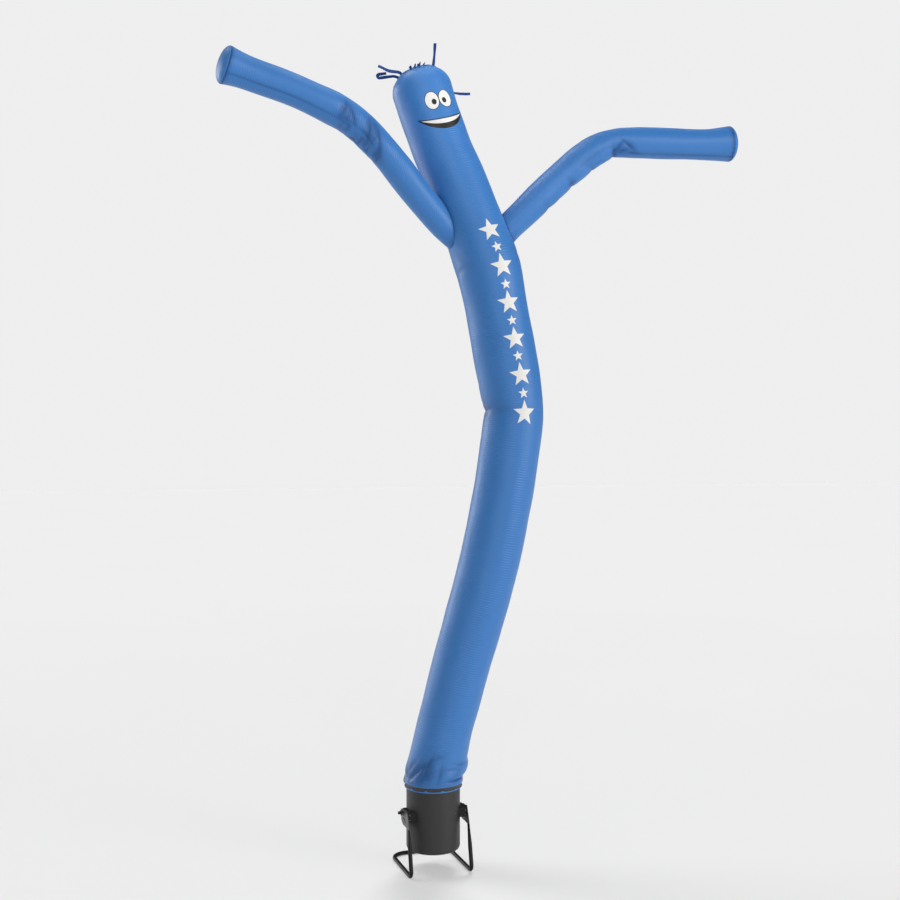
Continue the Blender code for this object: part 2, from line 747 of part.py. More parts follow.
def build_stand(kit):
    """One bent tube: two floor bars joined by a back bar, and a leaning leg at each front.

    A section is a polygon with a flat side down, round along the tube and pressed to a flat
    oval at the two ends.
    """
    path = stand_path()
    ahead = tangents(path)
    sideways = np.empty_like(path)
    across = np.array((1.0, 0.0, 0.0))
    for number, direction in enumerate(ahead):
        across = across - direction * (across @ direction)
        across /= np.linalg.norm(across)
        sideways[number] = across
    upwards = np.cross(ahead, sideways)
    steps = np.linalg.norm(np.diff(path, axis=0), axis=1)
    along = np.concatenate(([0.0], np.cumsum(steps)))
    share = np.clip(np.minimum(along, along[-1] - along) / LEG_FLAT_REACH, 0.0, 1.0)
    ease = (share**2 * (3 - 2 * share))[:, None, None]
    thin, wide = (flat * (1 - ease) + TUBE_RADIUS * ease for flat in LEG_FLAT)
    turn = (np.arange(TUBE_SIDES) + 0.5) * 2 * math.pi / TUBE_SIDES
    rings = (path[:, None] + sideways[:, None] * thin * np.cos(turn)[:, None]
             + upwards[:, None] * wide * np.sin(turn)[:, None])
    stand = bpy.data.objects.new("stand_tube", grid_mesh("stand_tube", rings, lid=True))
    return kit.place(stand, "stand")


def slot_outline():
    """A straight slot with round ends."""
    front, back = SLOT
    lie = math.degrees(math.atan2(back[1] - front[1], back[0] - front[0]))
    return (arc(front, SLOT_HALF_WIDTH, lie + 90, lie + 270, 6)
            + arc(back, SLOT_HALF_WIDTH, lie - 90, lie + 90, 6))


def plate_outline():
    """The plate's edge, from the leg's square end round to the leg again."""
    leg = Vector((LEG_TOP[0] - STAND_FRONT, LEG_TOP[1])).normalized()
    square = Vector((-leg.y, leg.x)) * LEG_FLAT[1]
    foot = Vector(LEG_TOP) + leg * GAP * 2
    corners = [foot + square, foot - square] + [row[:2] for row in PLATE_EDGE]
    return rounded(corners, [0.001, 0.001] + [row[2] for row in PLATE_EDGE], 3)


def build_plates(kit):
    for side, sign in (("left", -1), ("right", 1)):
        plate = flat_piece(f"pivot_plate_{side}", [plate_outline(), slot_outline()],
                           PLATE_THICKNESS)
        stand_upright(plate, sign * STAND_HALF_WIDTH)
        kit.place(plate, "plate")


def build_brackets(kit):
    """The blocks on the drum's sides that carry the pivots, shaped to the drum's wall."""
    bpy.ops.mesh.primitive_cylinder_add(vertices=DRUM_STEPS, radius=DRUM_RADIUS + GAP, depth=1.0)
    cutter = bpy.context.object
    cutter.name = "drum_cutter"
    for holder in list(cutter.users_collection):
        holder.objects.unlink(cutter)
    kit.place_cutter(cutter)
    cutter.location = (0.0, 0.0, DRUM_TOP)
    outline = rounded(BRACKET_EDGE, 0.004, 2)
    outer, inner = BRACKET_OUTER, 0.165
    for side, sign in (("left", -1), ("right", 1)):
        block = flat_piece(f"drum_bracket_{side}", [outline], outer - inner)
        stand_upright(block, sign * (outer + inner) / 2)
        block = as_mesh_in_scene(block)
        cut(block, cutter)
        kit.place(block, "stand")


def as_mesh_in_scene(item):
    """Link a curve object for as long as it takes to make it a mesh."""
    bpy.context.scene.collection.objects.link(item)
    bpy.context.view_layer.update()
    return as_mesh(item)


def build_bolts(kit):
    """Round-headed bolts on the brackets' front faces."""
    head = [(0.0, 0.005), (0.004, 0.0045), (0.0065, 0.002), (0.0065, 0.0), (0.0, 0.0)]
    front = min(row[0] for row in BRACKET_EDGE)
    for side, sign in (("left", -1), ("right", 1)):
        for number, height in enumerate(BRACKET_BOLT_HEIGHTS):
            bolt = turned_solid(f"bracket_bolt_{side}_{number + 1}", head, 8)
            bolt.rotation_euler = (math.pi / 2, 0.0, 0.0)
            bolt.location = (sign * BRACKET_BOLT_X, front - GAP, height)
            kit.place(bolt, "bolt")


def build_knobs(kit):
    """Hand screws on the pivots: a broad flange against the plate, a neck and a round grip."""
    face = PLATE_THICKNESS / 2 + GAP
    profile = [(0.0, face + 0.037), (0.009, face + 0.036), (0.012, face + 0.032),
               (0.012, face + 0.020), (0.009, face + 0.016), (0.021, face + 0.015),
               (0.024, face + 0.012), (0.024, face + 0.007), (0.010, face + 0.005),
               (0.010, face), (0.0, face)]
    for side, sign in (("left", -1), ("right", 1)):
        knob = turned_solid(f"pivot_knob_{side}", profile, 14)
        knob.rotation_euler = (0.0, sign * math.pi / 2, 0.0)
        knob.location = (sign * STAND_HALF_WIDTH, *PIVOT)
        kit.place(knob, "knob")


def main():
    clear_scene()
    kit = Kit()
    build_body(kit)
    build_head_panel(kit)
    cutter = build_shoulder_cutter(kit)
    build_arm(kit, "left", LEFT_ARM, LEFT_HEADING, LEFT_FOLDS, cutter)
    build_arm(kit, "right", RIGHT_ARM, RIGHT_HEADING, RIGHT_FOLDS, cutter)
    build_hand_panel(kit, "left", LEFT_ARM, LEFT_HEADING)
    build_hand_panel(kit, "right", RIGHT_ARM, RIGHT_HEADING)
    build_hair(kit)
    build_drum(kit)
    build_inlet_guard(kit)
    build_band(kit)
    build_stand(kit)
    build_plates(kit)
    build_brackets(kit)
    build_bolts(kit)
    build_knobs(kit)
    bpy.context.view_layer.update()


main()
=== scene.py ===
"""Dress an inflatable air dancer: blown nylon tubes, printed face and stars, ribbon hair, a
woven clamp strap, and the painted metal of its drum blower and stand.

Lengths are metres in the part's own frame: +Z up, the face looking along -Y, the origin on the
floor under the stand's back bar.  Shapes are worked out about the drum's own axis, then moved
to it.  A cloth tube is a surface of two parameters, distance along and angle around, laid on a
smooth centre line, with its folds pressed in as soft troughs.
"""
import copy
import math

import bpy
import numpy as np
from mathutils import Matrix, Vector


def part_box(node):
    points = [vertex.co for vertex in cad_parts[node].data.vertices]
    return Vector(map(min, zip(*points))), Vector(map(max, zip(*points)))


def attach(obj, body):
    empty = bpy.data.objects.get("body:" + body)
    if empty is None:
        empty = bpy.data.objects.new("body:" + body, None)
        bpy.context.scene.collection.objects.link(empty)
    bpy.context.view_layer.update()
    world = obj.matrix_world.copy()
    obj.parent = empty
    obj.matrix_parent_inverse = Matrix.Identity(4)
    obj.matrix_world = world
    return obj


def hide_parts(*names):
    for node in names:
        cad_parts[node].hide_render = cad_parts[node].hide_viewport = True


bl_info = {
    "name": "Inflatable air dancer",
    "version": (1, 0, 0),
    "blender": (4, 5, 0),
    "location": "3D View > Sidebar > Air dancer",
    "description": "Builds the cloth, print, hair and blower finishes of a blown tube figure",
    "category": "Object",
}

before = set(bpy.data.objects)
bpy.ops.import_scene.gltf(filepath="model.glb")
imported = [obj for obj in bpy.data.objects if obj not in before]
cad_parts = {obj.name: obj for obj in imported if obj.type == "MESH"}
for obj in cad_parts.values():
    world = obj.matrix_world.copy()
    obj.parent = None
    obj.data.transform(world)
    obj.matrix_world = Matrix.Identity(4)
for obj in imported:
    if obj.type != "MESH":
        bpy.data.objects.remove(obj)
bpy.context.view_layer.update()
DRUM_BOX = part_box("drum_shell")
BAND_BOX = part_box("clamp_band")
AXIS = np.array(((DRUM_BOX[0].x + DRUM_BOX[1].x) / 2, (DRUM_BOX[0].y + DRUM_BOX[1].y) / 2, 0.0))
DRUM_RADIUS = (DRUM_BOX[1].x - DRUM_BOX[0].x) / 2
FRONT = np.array((0.0, -1.0, 0.0))
UP = np.array((0.0, 0.0, 1.0))
TURN = 2 * math.pi
CLEAR = 0.0006                   # between a piece and what it touches

# ---------------------------------------------------------------- tables
# The hem, from its edge outside the strap's foot, under the strap and up inside it: radius,
# height, share of a pucker's reach.
HEM = [
    (0.2157, 0.6240, 1.0),
    (0.2160, 0.6205, 0.5),
    (0.2150, 0.6175, 0.1),
    (0.2110, 0.6155, 0.0),
    (0.2076, 0.6175, 0.0),
    (0.2076, 0.6300, 0.0),
    (0.2077, 0.6570, 0.0),
]
PUCKERS = 11                     # where the strap gathers the hem
PUCKER_PHASE = 1.0               # degrees from the front
PUCKER_REACH = (0.0040, 0.0170)  # how far a pucker stands out, and up over the strap
PUCKER_WIDTH = 0.0075
HEM_RADIUS = 0.21
HEM_RINGS = 16
HEM_FOOT = 2                     # the row of HEM that the body's length is counted from

# The bulge above the strap: height, radius, shift towards +X.
FOOT = [
    (0.6590, 0.2077, 0.0000),
    (0.6584, 0.2110, -0.0003),
    (0.6580, 0.2148, -0.0008),
    (0.6557, 0.2176, -0.0014),
    (0.6536, 0.2204, -0.0020),
    (0.6545, 0.2238, -0.0025),
    (0.6620, 0.2272, -0.0025),
    (0.6780, 0.2303, -0.0018),
    (0.7000, 0.2322, 0.0018),
]
# The body: height, sway along the lean, diameter.
BODY = [
    (0.700, 0.002, 0.464),
    (0.735, 0.014, 0.471),
    (0.775, 0.025, 0.464),
    (0.830, 0.035, 0.447),
    (0.930, 0.056, 0.433),
    (1.240, 0.134, 0.430),
    (1.550, 0.216, 0.435),
    (1.860, 0.304, 0.444),
    (2.170, 0.390, 0.448),
    (2.480, 0.462, 0.449),
    (2.790, 0.522, 0.448),
    (3.110, 0.572, 0.449),
    (3.420, 0.603, 0.452),
    (3.680, 0.575, 0.467),
    (3.900, 0.534, 0.473),
    (4.240, 0.474, 0.466),
    (4.580, 0.397, 0.490),
    (4.730, 0.342, 0.474),
    (5.030, 0.228, 0.457),
    (5.210, 0.159, 0.451),
    (5.396, 0.075, 0.449),
    (5.530, 0.026, 0.448),
    (5.680, -0.027, 0.449),
    (5.860, -0.084, 0.456),
]
LEAN_HEADING = 26.5              # the body leans to +X and this many degrees forward
LEAN_REACH = 0.90                # height over which its rings tilt from level to its own line
BODY_CUT_RADIUS = 0.2265         # of the tube as sewn flat
FOOT_RINGS = 14
RING_REACHES = (0.26, 2.50, 3.10, 5.37)     # the folded foot, plain, about the main crease, plain
CREASE_HEIGHT = 2.889            # the body's main crease, along the tube
CREASE_CELL = 0.0125             # spacing of the rings about it
CROWN_RISE = 0.180               # of the dome, above its base
SEAM_ANGLE = 50.0                # degrees up the dome to the head panel's seam
SEAM_GAP = 0.0012                # between the body's end and the head panel's rim
PANEL_CUT = 1.05                 # the head panel's flat radius, from its seam's

# The arms: distance out from the body's axis, height, diameter.
LEFT_ARM = [
    (0.110, 4.662, 0.150),
    (0.200, 4.741, 0.176),
    (0.256, 4.795, 0.195),
    (0.330, 4.872, 0.211),
    (0.407, 4.954, 0.217),
    (0.512, 5.068, 0.222),
    (0.612, 5.184, 0.226),
    (0.689, 5.269, 0.221),
    (0.768, 5.349, 0.224),
    (0.853, 5.427, 0.230),
    (0.945, 5.499, 0.233),
    (1.040, 5.556, 0.234),
    (1.143, 5.602, 0.240),
    (1.252, 5.641, 0.231),
    (1.356, 5.676, 0.227),
    (1.466, 5.708, 0.227),
    (1.574, 5.735, 0.229),
    (1.681, 5.760, 0.230),
    (1.786, 5.787, 0.238),
    (1.893, 5.814, 0.267),
]
RIGHT_ARM = [
    (0.100, 4.668, 0.200),
    (0.185, 4.762, 0.204),
    (0.252, 4.838, 0.209),
    (0.363, 4.947, 0.221),
    (0.472, 5.053, 0.229),
    (0.579, 5.158, 0.229),
    (0.689, 5.258, 0.230),
    (0.805, 5.357, 0.235),
    (0.930, 5.445, 0.230),
    (1.073, 5.500, 0.218),
    (1.232, 5.511, 0.231),
    (1.385, 5.515, 0.234),
    (1.539, 5.517, 0.233),
    (1.694, 5.519, 0.232),
    (1.850, 5.523, 0.240),
    (1.945, 5.531, 0.258),
    (1.995, 5.535, 0.268),
]
ARM_CUT_RADIUS = 0.115           # of the tube as sewn flat
ARM_CELL = 0.0115                # spacing of the arm's rings
SHOULDER_HEIGHT = 4.750
SHOULDER_REACH = (3.2, 5.0)      # the stretch along the body that an arm can meet
LEFT_HEADING = 183.5
RIGHT_HEADING = -8.5
LEFT_BEND = 1.13                 # where each arm is bent the most
RIGHT_BEND = 1.20
HAND_BULGE = 0.056               # how far a hand panel stands out
HAND_CUT = 1.12                  # a hand panel's flat radius, from its seam's
CAP_GAP = 0.0022                 # between an arm's end and its hand panel's rim
# The arms' lengthwise seams: degrees around, and the distance along where each begins.
LEFT_SEAM = (228, 1.08)
RIGHT_SEAM = (149, 1.22)

# Folds: distance along the tube, degrees around, slant from the tube's own direction in degrees,
# half length, half width, depth; a negative depth is a ridge.
# A fold's depth also sets the painted shade in its bed; some shallow rows, at the body's foot and
# on the body beside the left arm's root, are there mostly for that painted shade.
BODY_FOLDS = [
    (0.110, -62, 30, 0.070, 0.050, 0.008),
    (0.138, -55, 40, 0.097, 0.020, 0.014),
    (0.157, -38, 13, 0.090, 0.012, 0.014),
    (0.122, -10, 0, 0.081, 0.012, 0.010),
    (0.065, 35, 86, 0.126, 0.010, 0.018),
    (0.254, -20, 68, 0.049, 0.014, 0.007),
    (0.152, 15, -87, 0.084, 0.012, 0.007),
    (0.191, 34, -88, 0.070, 0.010, 0.008),
    (0.113, -88, -21, 0.042, 0.010, 0.007),
    (0.104, 9, -87, 0.043, 0.012, -0.006),
    (0.036, -20, 90, 0.300, 0.008, 0.004),
    (0.155, 78, 10, 0.065, 0.045, -0.009),
    (0.066, -94, 88, 0.130, 0.038, 0.020),
    (0.062, 92, 92, 0.095, 0.028, 0.023),
    (0.120, -32, 0, 0.075, 0.045, 0.006),
    (0.168, -73, 29, 0.069, 0.020, 0.007),
    (0.144, -38, -33, 0.078, 0.022, 0.007),
    (0.098, 19, 77, 0.060, 0.010, 0.008),
    (0.216, 74, 88, 0.045, 0.014, 0.008),
    (0.110, 112, 40, 0.090, 0.022, 0.010),
    (0.130, 150, -30, 0.100, 0.020, 0.009),
    (0.090, 178, 20, 0.060, 0.016, 0.008),
    (0.100, -150, 34, 0.100, 0.020, 0.009),
    (0.075, -112, -28, 0.070, 0.018, 0.007),
    (2.889, -112, 90, 0.230, 0.055, 0.016),
    (2.889, -108, 88, 0.110, 0.012, 0.006),
    (2.845, -96, 66, 0.080, 0.014, 0.005),
    (2.940, -98, 112, 0.080, 0.014, 0.005),
    (2.655, -120, 84, 0.070, 0.018, 0.003),
    (3.125, -118, 96, 0.080, 0.018, 0.003),
    (4.460, -70, -11, 0.210, 0.034, 0.006),
    (4.470, -63, -16, 0.111, 0.016, 0.003),
    (3.970, -84, 78, 0.110, 0.020, 0.005),
    (4.060, -64, -30, 0.090, 0.020, 0.004),
    (4.010, 66, 100, 0.100, 0.020, 0.005),
]
LEFT_FOLDS = [
    (0.907, 202, 79, 0.050, 0.014, 0.016),
    (0.948, 200, 78, 0.075, 0.016, 0.013),
    (0.948, 230, 65, 0.042, 0.012, 0.011),
    (0.970, 190, -21, 0.045, 0.018, -0.010),
    (1.008, 200, 74, 0.036, 0.008, 0.010),
    (1.019, 190, -9, 0.039, 0.008, 0.009),
    (1.042, 278, 41, 0.097, 0.012, 0.016),
    (1.049, 262, 68, 0.068, 0.022, 0.009),
    (1.057, 215, 73, 0.048, 0.012, 0.010),
    (1.083, 236, 9, 0.067, 0.012, 0.013),
    (1.095, 200, 82, 0.047, 0.009, 0.012),
    (1.109, 175, -8, 0.031, 0.014, -0.006),
    (1.115, 266, 62, 0.080, 0.015, 0.021),
    (1.130, 175, 75, 0.075, 0.020, 0.008),
    (1.154, 188, -2, 0.042, 0.008, 0.009),
    (1.239, 213, -84, 0.037, 0.009, 0.010),
    (1.263, 266, 43, 0.085, 0.012, 0.013),
    (1.276, 238, -3, 0.090, 0.010, 0.007),
    (1.290, 190, 80, 0.070, 0.018, 0.008),
    (1.290, 260, 76, 0.054, 0.022, 0.008),
    (1.339, 264, -89, 0.071, 0.014, 0.016),
    (1.180, 120, 60, 0.090, 0.020, 0.008),
    (1.020, 90, -70, 0.080, 0.020, 0.007),
    (1.820, 228, 1, 0.450, 0.010, 0.005),
    (0.060, 240, 80, 0.060, 0.020, 0.008),
]
RIGHT_FOLDS = [
    (0.545, 178, 75, 0.090, 0.026, 0.010),
    (0.640, 160, 60, 0.050, 0.014, 0.005),
    (0.795, 165, 82, 0.080, 0.018, 0.013),
    (0.801, 140, -2, 0.042, 0.012, 0.009),
    (0.900, 150, 84, 0.080, 0.045, -0.005),
    (1.005, 168, 80, 0.070, 0.016, 0.012),
    (1.039, 110, 0, 0.185, 0.020, 0.007),
    (1.088, 145, 9, 0.067, 0.008, 0.010),
    (1.125, 150, 84, 0.080, 0.045, -0.005),
    (1.240, 160, 86, 0.070, 0.014, 0.018),
    (1.247, 135, -30, 0.034, 0.010, 0.012),
    (1.276, 122, -44, 0.067, 0.012, 0.014),
    (1.312, 141, -18, 0.046, 0.014, 0.017),
    (1.377, 116, 35, 0.053, 0.012, 0.014),
    (1.417, 146, 7, 0.058, 0.010, 0.009),
    (1.260, 215, 84, 0.080, 0.018, 0.010),
    (1.960, 149, 0, 0.520, 0.010, 0.005),
]
# Each arm: side, line, heading, folds, seam, the draw of its small creases, bend.
ARMS = (
    ("left", LEFT_ARM, LEFT_HEADING, LEFT_FOLDS, LEFT_SEAM, 11, LEFT_BEND),
    ("right", RIGHT_ARM, RIGHT_HEADING, RIGHT_FOLDS, RIGHT_SEAM, 12, RIGHT_BEND),
)

# Hair: degrees around the crown, length, rise at the root and the tip, the shares of the length
# between which it changes, turn sideways, width, twist at the root and the tip, in degrees.
RIBBONS = [
    (45.0, 0.163, 82, 86, 0.00, 1.00, 20, 0.0225, -76, -66),
    (-67.0, 0.190, -2, 28, 0.30, 0.75, -20, 0.0300, 78, 92),
    (-93.0, 0.240, -8, 174, 0.55, 0.80, -14, 0.0255, 74, 104),
    (-33.0, 0.030, 30, 0, 0.00, 1.00, 70, 0.0240, 0, 60),
    (-21.0, 0.034, 10, -10, 0.00, 1.00, 80, 0.0220, 20, 80),
    (-9.0, 0.036, 30, -20, 0.00, 1.00, 75, 0.0240, -20, 60),
    (6.4, 0.024, 25, -5, 0.00, 1.00, 60, 0.0160, 0, 60),
    (96.4, 0.385, -74, -8, 0.05, 0.80, -48, 0.0230, 0, 100),
    (160.7, 0.190, 0, -50, 0.00, 1.00, 20, 0.0200, 0, 50),
    (-147.9, 0.085, 0, -50, 0.00, 1.00, 26, 0.0190, 0, 50),
]
RIBBON_THICKNESS = 0.0016
RIBBON_ROOT = 0.0048             # how far out from the dome a ribbon begins
BINDING = (0.0200, 0.0026)       # width and thickness of the tape that holds the ribbons
BINDING_ROOM = 0.0016            # under the tape, for the cloth's tucks
BINDING_CHART = (0.9, 0.04)      # the tape's length round the crown, and its own girth

# The stand's tube: its corners are worked out from these.
STAND_HALF_WIDTH = 0.234
STAND_ENDS = (-0.216, 0.335)     # front and back, behind the drum's axis
LEG_TOP = (-0.137, 0.345)        # behind the drum's axis, and up
LEG_FLAT = (0.0070, 0.0200)      # half sizes of the pressed leg top
LEG_FLAT_REACH = 0.170           # length over which the tube grows round
TUBE_RADIUS = 0.0155
TUBE_LOW = TUBE_RADIUS * math.cos(math.pi / 12)     # height of its middle over its flat underside
TUBE_BENDS = (0.040, 0.110)      # radius at the front corners and the back ones
BEND_STEPS = 12
PROFILE_STEPS = 4                # in each rounded corner of a turned profile
# Places of the bolts on one side: sideways, behind the drum's axis, and up.
BOLT_PLACES = ((0.218, -0.112, 0.443), (0.218, -0.112, 0.406))
KNOB_PLACE = (0.010, 0.432)      # behind the drum's axis, and up
RIVETS = ((36.0, 0.483), (36.0, 0.441), (55.0, 0.496))       # degrees from the front, height
PLATE_FACE = 0.003               # from the middle of a pivot plate to its outer face
PLAY = 0.0004                    # between a screw's head and the plate under it
SIDES = (("left", -1), ("right", 1))
DRUM_FOOT_RADIUS = 0.165         # the opening in the drum's rolled foot
STRAP_INSIDE = 0.2080
# Turned profiles: radius, and height from the face that each is screwed or set into.
KNOB_PROFILE = [
    (0.0002, 0.0), (0.0095, 0.0), (0.0105, 0.005), (0.0240, 0.007), (0.0240, 0.012),
    (0.0210, 0.015), (0.0090, 0.016), (0.0120, 0.020), (0.0120, 0.032), (0.0090, 0.036),
    (0.0002, 0.037),
]
BOLT_PROFILE = [
    (0.0002, 0.0022), (0.0024, 0.0022), (0.0026, 0.0048), (0.0044, 0.0044), (0.0065, 0.0020),
    (0.0065, 0.0), (0.0002, 0.0),
]
RIVET_PROFILE = [
    (0.0050, -0.0004), (0.0050, 0.0006), (0.0042, 0.0018), (0.0024, 0.0026), (0.0002, 0.0029),
]

# ---------------------------------------------------------------- print
PRINT_ANGLES = (1.0, 5.0)        # degrees from the front to the print's middle line, low and high
STAR_HEIGHTS = (3.42, 4.76)      # the first and last of the stars, up the body's front
STAR_COUNT = 6
STAR_DENT = 0.42                 # radius to a star's inner corners, as a share of its points'
EYE_HEIGHT = 5.735
MOUTH_HEIGHT = 5.600
EYE_RIM = 0.0045                 # width of the black line around an eye
INK_EDGE = 0.0016                # width over which the print's edge fades

# ---------------------------------------------------------------- sewing
# Tucks around a seam: count, how far they wander, and in how many waves.
FOOT_TUCKS = (55, 2.0, 5)
CROWN_TUCKS = (40, 1.0, 7)
ROOT_TUCKS = (26, 1.5, 4)
HAND_TUCKS = (26, 1.0, 4)
CROWN_TUCK_DEPTH = 0.0010
FOOT_TUCK_DEPTH = 0.0012
ROOT_TUCK_DEPTH = 0.0022         # where an arm leaves the body
HAND_TUCK_DEPTH = 0.0012         # where an arm ends
FOOT_TUCK_PLACE = (0.018, 0.016)            # middle along the body, and reach
CROWN_TUCK_REACH = 0.020
ROOT_TUCK_REACH = (0.030, 0.012)            # how slowly they die away, and begin
HAND_REACH = 0.022               # along the arm, of the tucks and the painted shade at its end
# Tucks of a hand panel, near its seam and as spokes: reach from the seam, as a share of the
# panel's rise, and depth.
PANEL_TUCKS = ((0.18, 0.0010), (0.55, 0.0007))
END_SHADE = (0.5, 0.8)           # painted shade where an arm leaves the body, and at the seam where it ends
# Slack cloth, with small creases: reach above the strap, where it begins and over what length,
# how slack it is about the main crease and how far, and the reach about an arm's bend.
SLACK_REACH = 0.17
SLACK_START = (0.010, 0.03)
CREASE_SLACK = (0.35, 0.10)
BEND_REACH = 0.26
FREE_START = 0.004               # above the strap, up to where the cloth is held
FREE_REACH = 0.05                # over which held cloth comes free of a seam or the strap
BODY_DRAWS = (21, 4)             # of the body's small creases and its slow unevenness
CREASE_HEIGHTS = (0.0085, 0.0070)           # of the small creases: body, arms
RIPPLE_HEIGHTS = (0.0022, 0.0018)           # of the slow unevenness: body, arms
STITCH_INSET = 0.008             # from a seam to its row of stitches
STITCH_WIDTH = 0.0009
STITCH_PITCH = 0.006
STITCH_HALF_LENGTH = 0.0021
STITCH_EDGE = 0.0006
SEAM_FOLD = 0.014                # half width of the doubled cloth at a cross seam
SEAM_DEPTH = 0.0012              # of a lengthwise seam in an arm
BODY_SEAM_DEPTH = 0.0011
SEAM_GROOVE = 0.006              # half width of a lengthwise seam's groove
SEAM_GATHER = 0.028              # half width of the fine gathers beside it
SEAM_GATHER_PITCH = 0.0165
THREAD_WIDTH = 0.0006            # of a ripstop thread
# Relief of the cloth: small creases, hoops, ripstop threads, doubled cloth, stitches.
CREASE_RELIEF = 0.0016
HOOP_RELIEF = 0.0006
THREAD_RELIEF = 0.00006
DOUBLED_RELIEF = 0.0007
STITCH_RELIEF = 0.0006
# Painted shade in the creases: how much wider than the fold, depth of the darkest, the most.
BODY_SHADE = (1.7, 0.030, 0.90)
ARM_SHADE = (1.5, 0.025, 0.88)

# ---------------------------------------------------------------- lamps
# Far-off lamps: degrees to the right of the camera and above level, power, degrees across, and
# whether they leave highlights.
FAR_LAMPS = {
    "key": (62, 9, 1.75, 28, True),
    "front": (5, 14, 0.72, 28, True),
    "left": (-92, 8, 0.42, 28, True),
    "rim": (-124, 10, 1.05, 28, True),
    "back": (167, 55, 1.90, 22, False),
    "edge": (-112, 61, 0.95, 22, True),
}
FAR_LAMP_HEIGHT = 8.0
# Square lamps near the figure: place and target from the drum's axis, size, power.
NEAR_LAMPS = {
    "crown": ((0.0, -0.6, 7.7), (0.1, -0.3, 6.0), (1.4, 1.2), 13.0),
    "band": ((2.1, -3.1, 6.2), (1.6, -0.2, 5.5), (1.6, 0.5), 15.0),
}
# The narrow lamp on the head: place, target, power, degrees across, softness, size.
HEAD_LAMP = ((-3.2, -3.7, 9.5), (0.05, -0.25, 5.80), 520.0, 13, 0.9, 0.6)
FLOOR_DROP = 0.0002              # the floor's top under the stand
FLOOR_SWEEP = 16.0               # distance over which the floor's glow changes


# ---------------------------------------------------------------- settings
def length_setting(name, description, default):
    return bpy.props.FloatProperty(
        name=name, description=description, default=default, unit="LENGTH")


def lengths_setting(name, description, default):
    return bpy.props.FloatVectorProperty(
        name=name, description=description, default=default, size=len(default), unit="LENGTH")


def colour_setting(name, description, default):
    return bpy.props.FloatVectorProperty(
        name=name, description=description, default=default, size=3, subtype="COLOR")


class ClothSettings(bpy.types.PropertyGroup):
    wall: length_setting("Wall", "Thickness of the nylon", 0.0015)
    body_sides: bpy.props.IntProperty(
        name="Body sides", description="Points around the body tube", default=112)
    arm_sides: bpy.props.IntProperty(
        name="Arm sides", description="Points around an arm tube", default=84)
    cell: length_setting("Cell", "Spacing of the rings on plain cloth", 0.0175)
    fine_cell: length_setting("Fine cell", "Spacing of the rings on folded cloth", 0.0095)
    colour: colour_setting("Nylon", "Colour of the nylon", (0.038, 0.172, 0.465))
    # Painted shade: the colour that the beds of folds, the arms' roots and hands, the seams'
    # grooves and the stitches are darkened towards.
    painted_shade: colour_setting("Crease", "Colour in the beds of folds", (0.013, 0.082, 0.260))
    rib_pitch: length_setting("Rib pitch", "Spacing of the fine hoops in the cloth", 0.0180)
    grid_pitch: length_setting("Ripstop pitch", "Spacing of the ripstop threads", 0.0055)


class PrintSettings(bpy.types.PropertyGroup):
    white: colour_setting("White ink", "Colour of the white print", (0.72, 0.71, 0.68))
    black: colour_setting("Black ink", "Colour of the black print", (0.012, 0.011, 0.010))
    star_size: length_setting("Star", "Radius of a large star to its points", 0.088)
    small_star_size: length_setting("Small star", "Radius of a small star to its points", 0.040)
    eye_size: lengths_setting("Eye", "Half width and half height of an eye", (0.052, 0.066))
    mouth_size: lengths_setting("Mouth", "Half width, depth and lift of the smile's ends",
                                (0.215, 0.084, 0.048))


class BlowerSettings(bpy.types.PropertyGroup):
    drum_colour: colour_setting("Drum", "Colour of the drum's paint", (0.023, 0.023, 0.0235))
    stand_colour: colour_setting("Stand", "Colour of the stand's paint", (0.0085, 0.0085, 0.009))
    strap_colour: colour_setting("Strap", "Colour of the clamp strap", (0.026, 0.024, 0.022))
    hair_colour: colour_setting("Hair", "Colour of the hair ribbons", (0.003, 0.034, 0.160))


class StageSettings(bpy.types.PropertyGroup):
    camera_place: bpy.props.FloatVectorProperty(
        name="Camera", description="Camera's place from the drum's axis", subtype="XYZ", size=3,
        default=(-2.7545, -8.6321, 3.149), unit="LENGTH")
    camera_turn: bpy.props.FloatProperty(
        name="Camera turn", description="Camera's heading", default=math.radians(-18.5),
        subtype="ANGLE")
    focal_length: bpy.props.FloatProperty(
        name="Focal length", description="Camera lens in millimetres", default=48.0)
    floor_size: length_setting("Floor", "Half width of the studio floor", 90.0)
    floor_colour: colour_setting("Floor colour", "Colour of the studio floor", (0.38, 0.38, 0.38))
    floor_glow: bpy.props.FloatVectorProperty(
        name="Floor glow", description="Light that the white sweep adds near and far", size=2,
        default=(0.421, 0.456))
    fill: bpy.props.FloatProperty(
        name="Fill", description="Share of the studio's air that lights the figure", default=0.10)
    backdrop: colour_setting("Backdrop", "Colour of the studio's air", (0.86, 0.86, 0.86))


def chosen(group):
    """The scene's own values of one group of settings."""
    return getattr(bpy.context.scene, f"dancer_{group}")


# ---------------------------------------------------------------- shapes as arrays
def eased(share):
    """A share from 0 to 1 with level ends: 3 share^2 - 2 share^3."""
    share = np.clip(share, 0.0, 1.0)
    return share**2 * (3 - 2 * share)


def bell(value):
    """A bell curve: e to the minus value squared."""
    return np.exp(-(value**2))


def ring_angles(sides):
    """Even angles around a ring, its last point not repeated."""
    return np.linspace(0.0, TURN, sides, endpoint=False)


def wrapped_angle(value, pitch):
    """An angle from the middle of its own repeat, from -pitch/2 to pitch/2."""
    return (value + pitch / 2) % pitch - pitch / 2


def gathers(angle, count, wander, waves):
    """Tucks around a seam: a sine of count turns, whose places wander in slower waves."""
    return np.sin(angle * count + wander * np.sin(angle * waves))


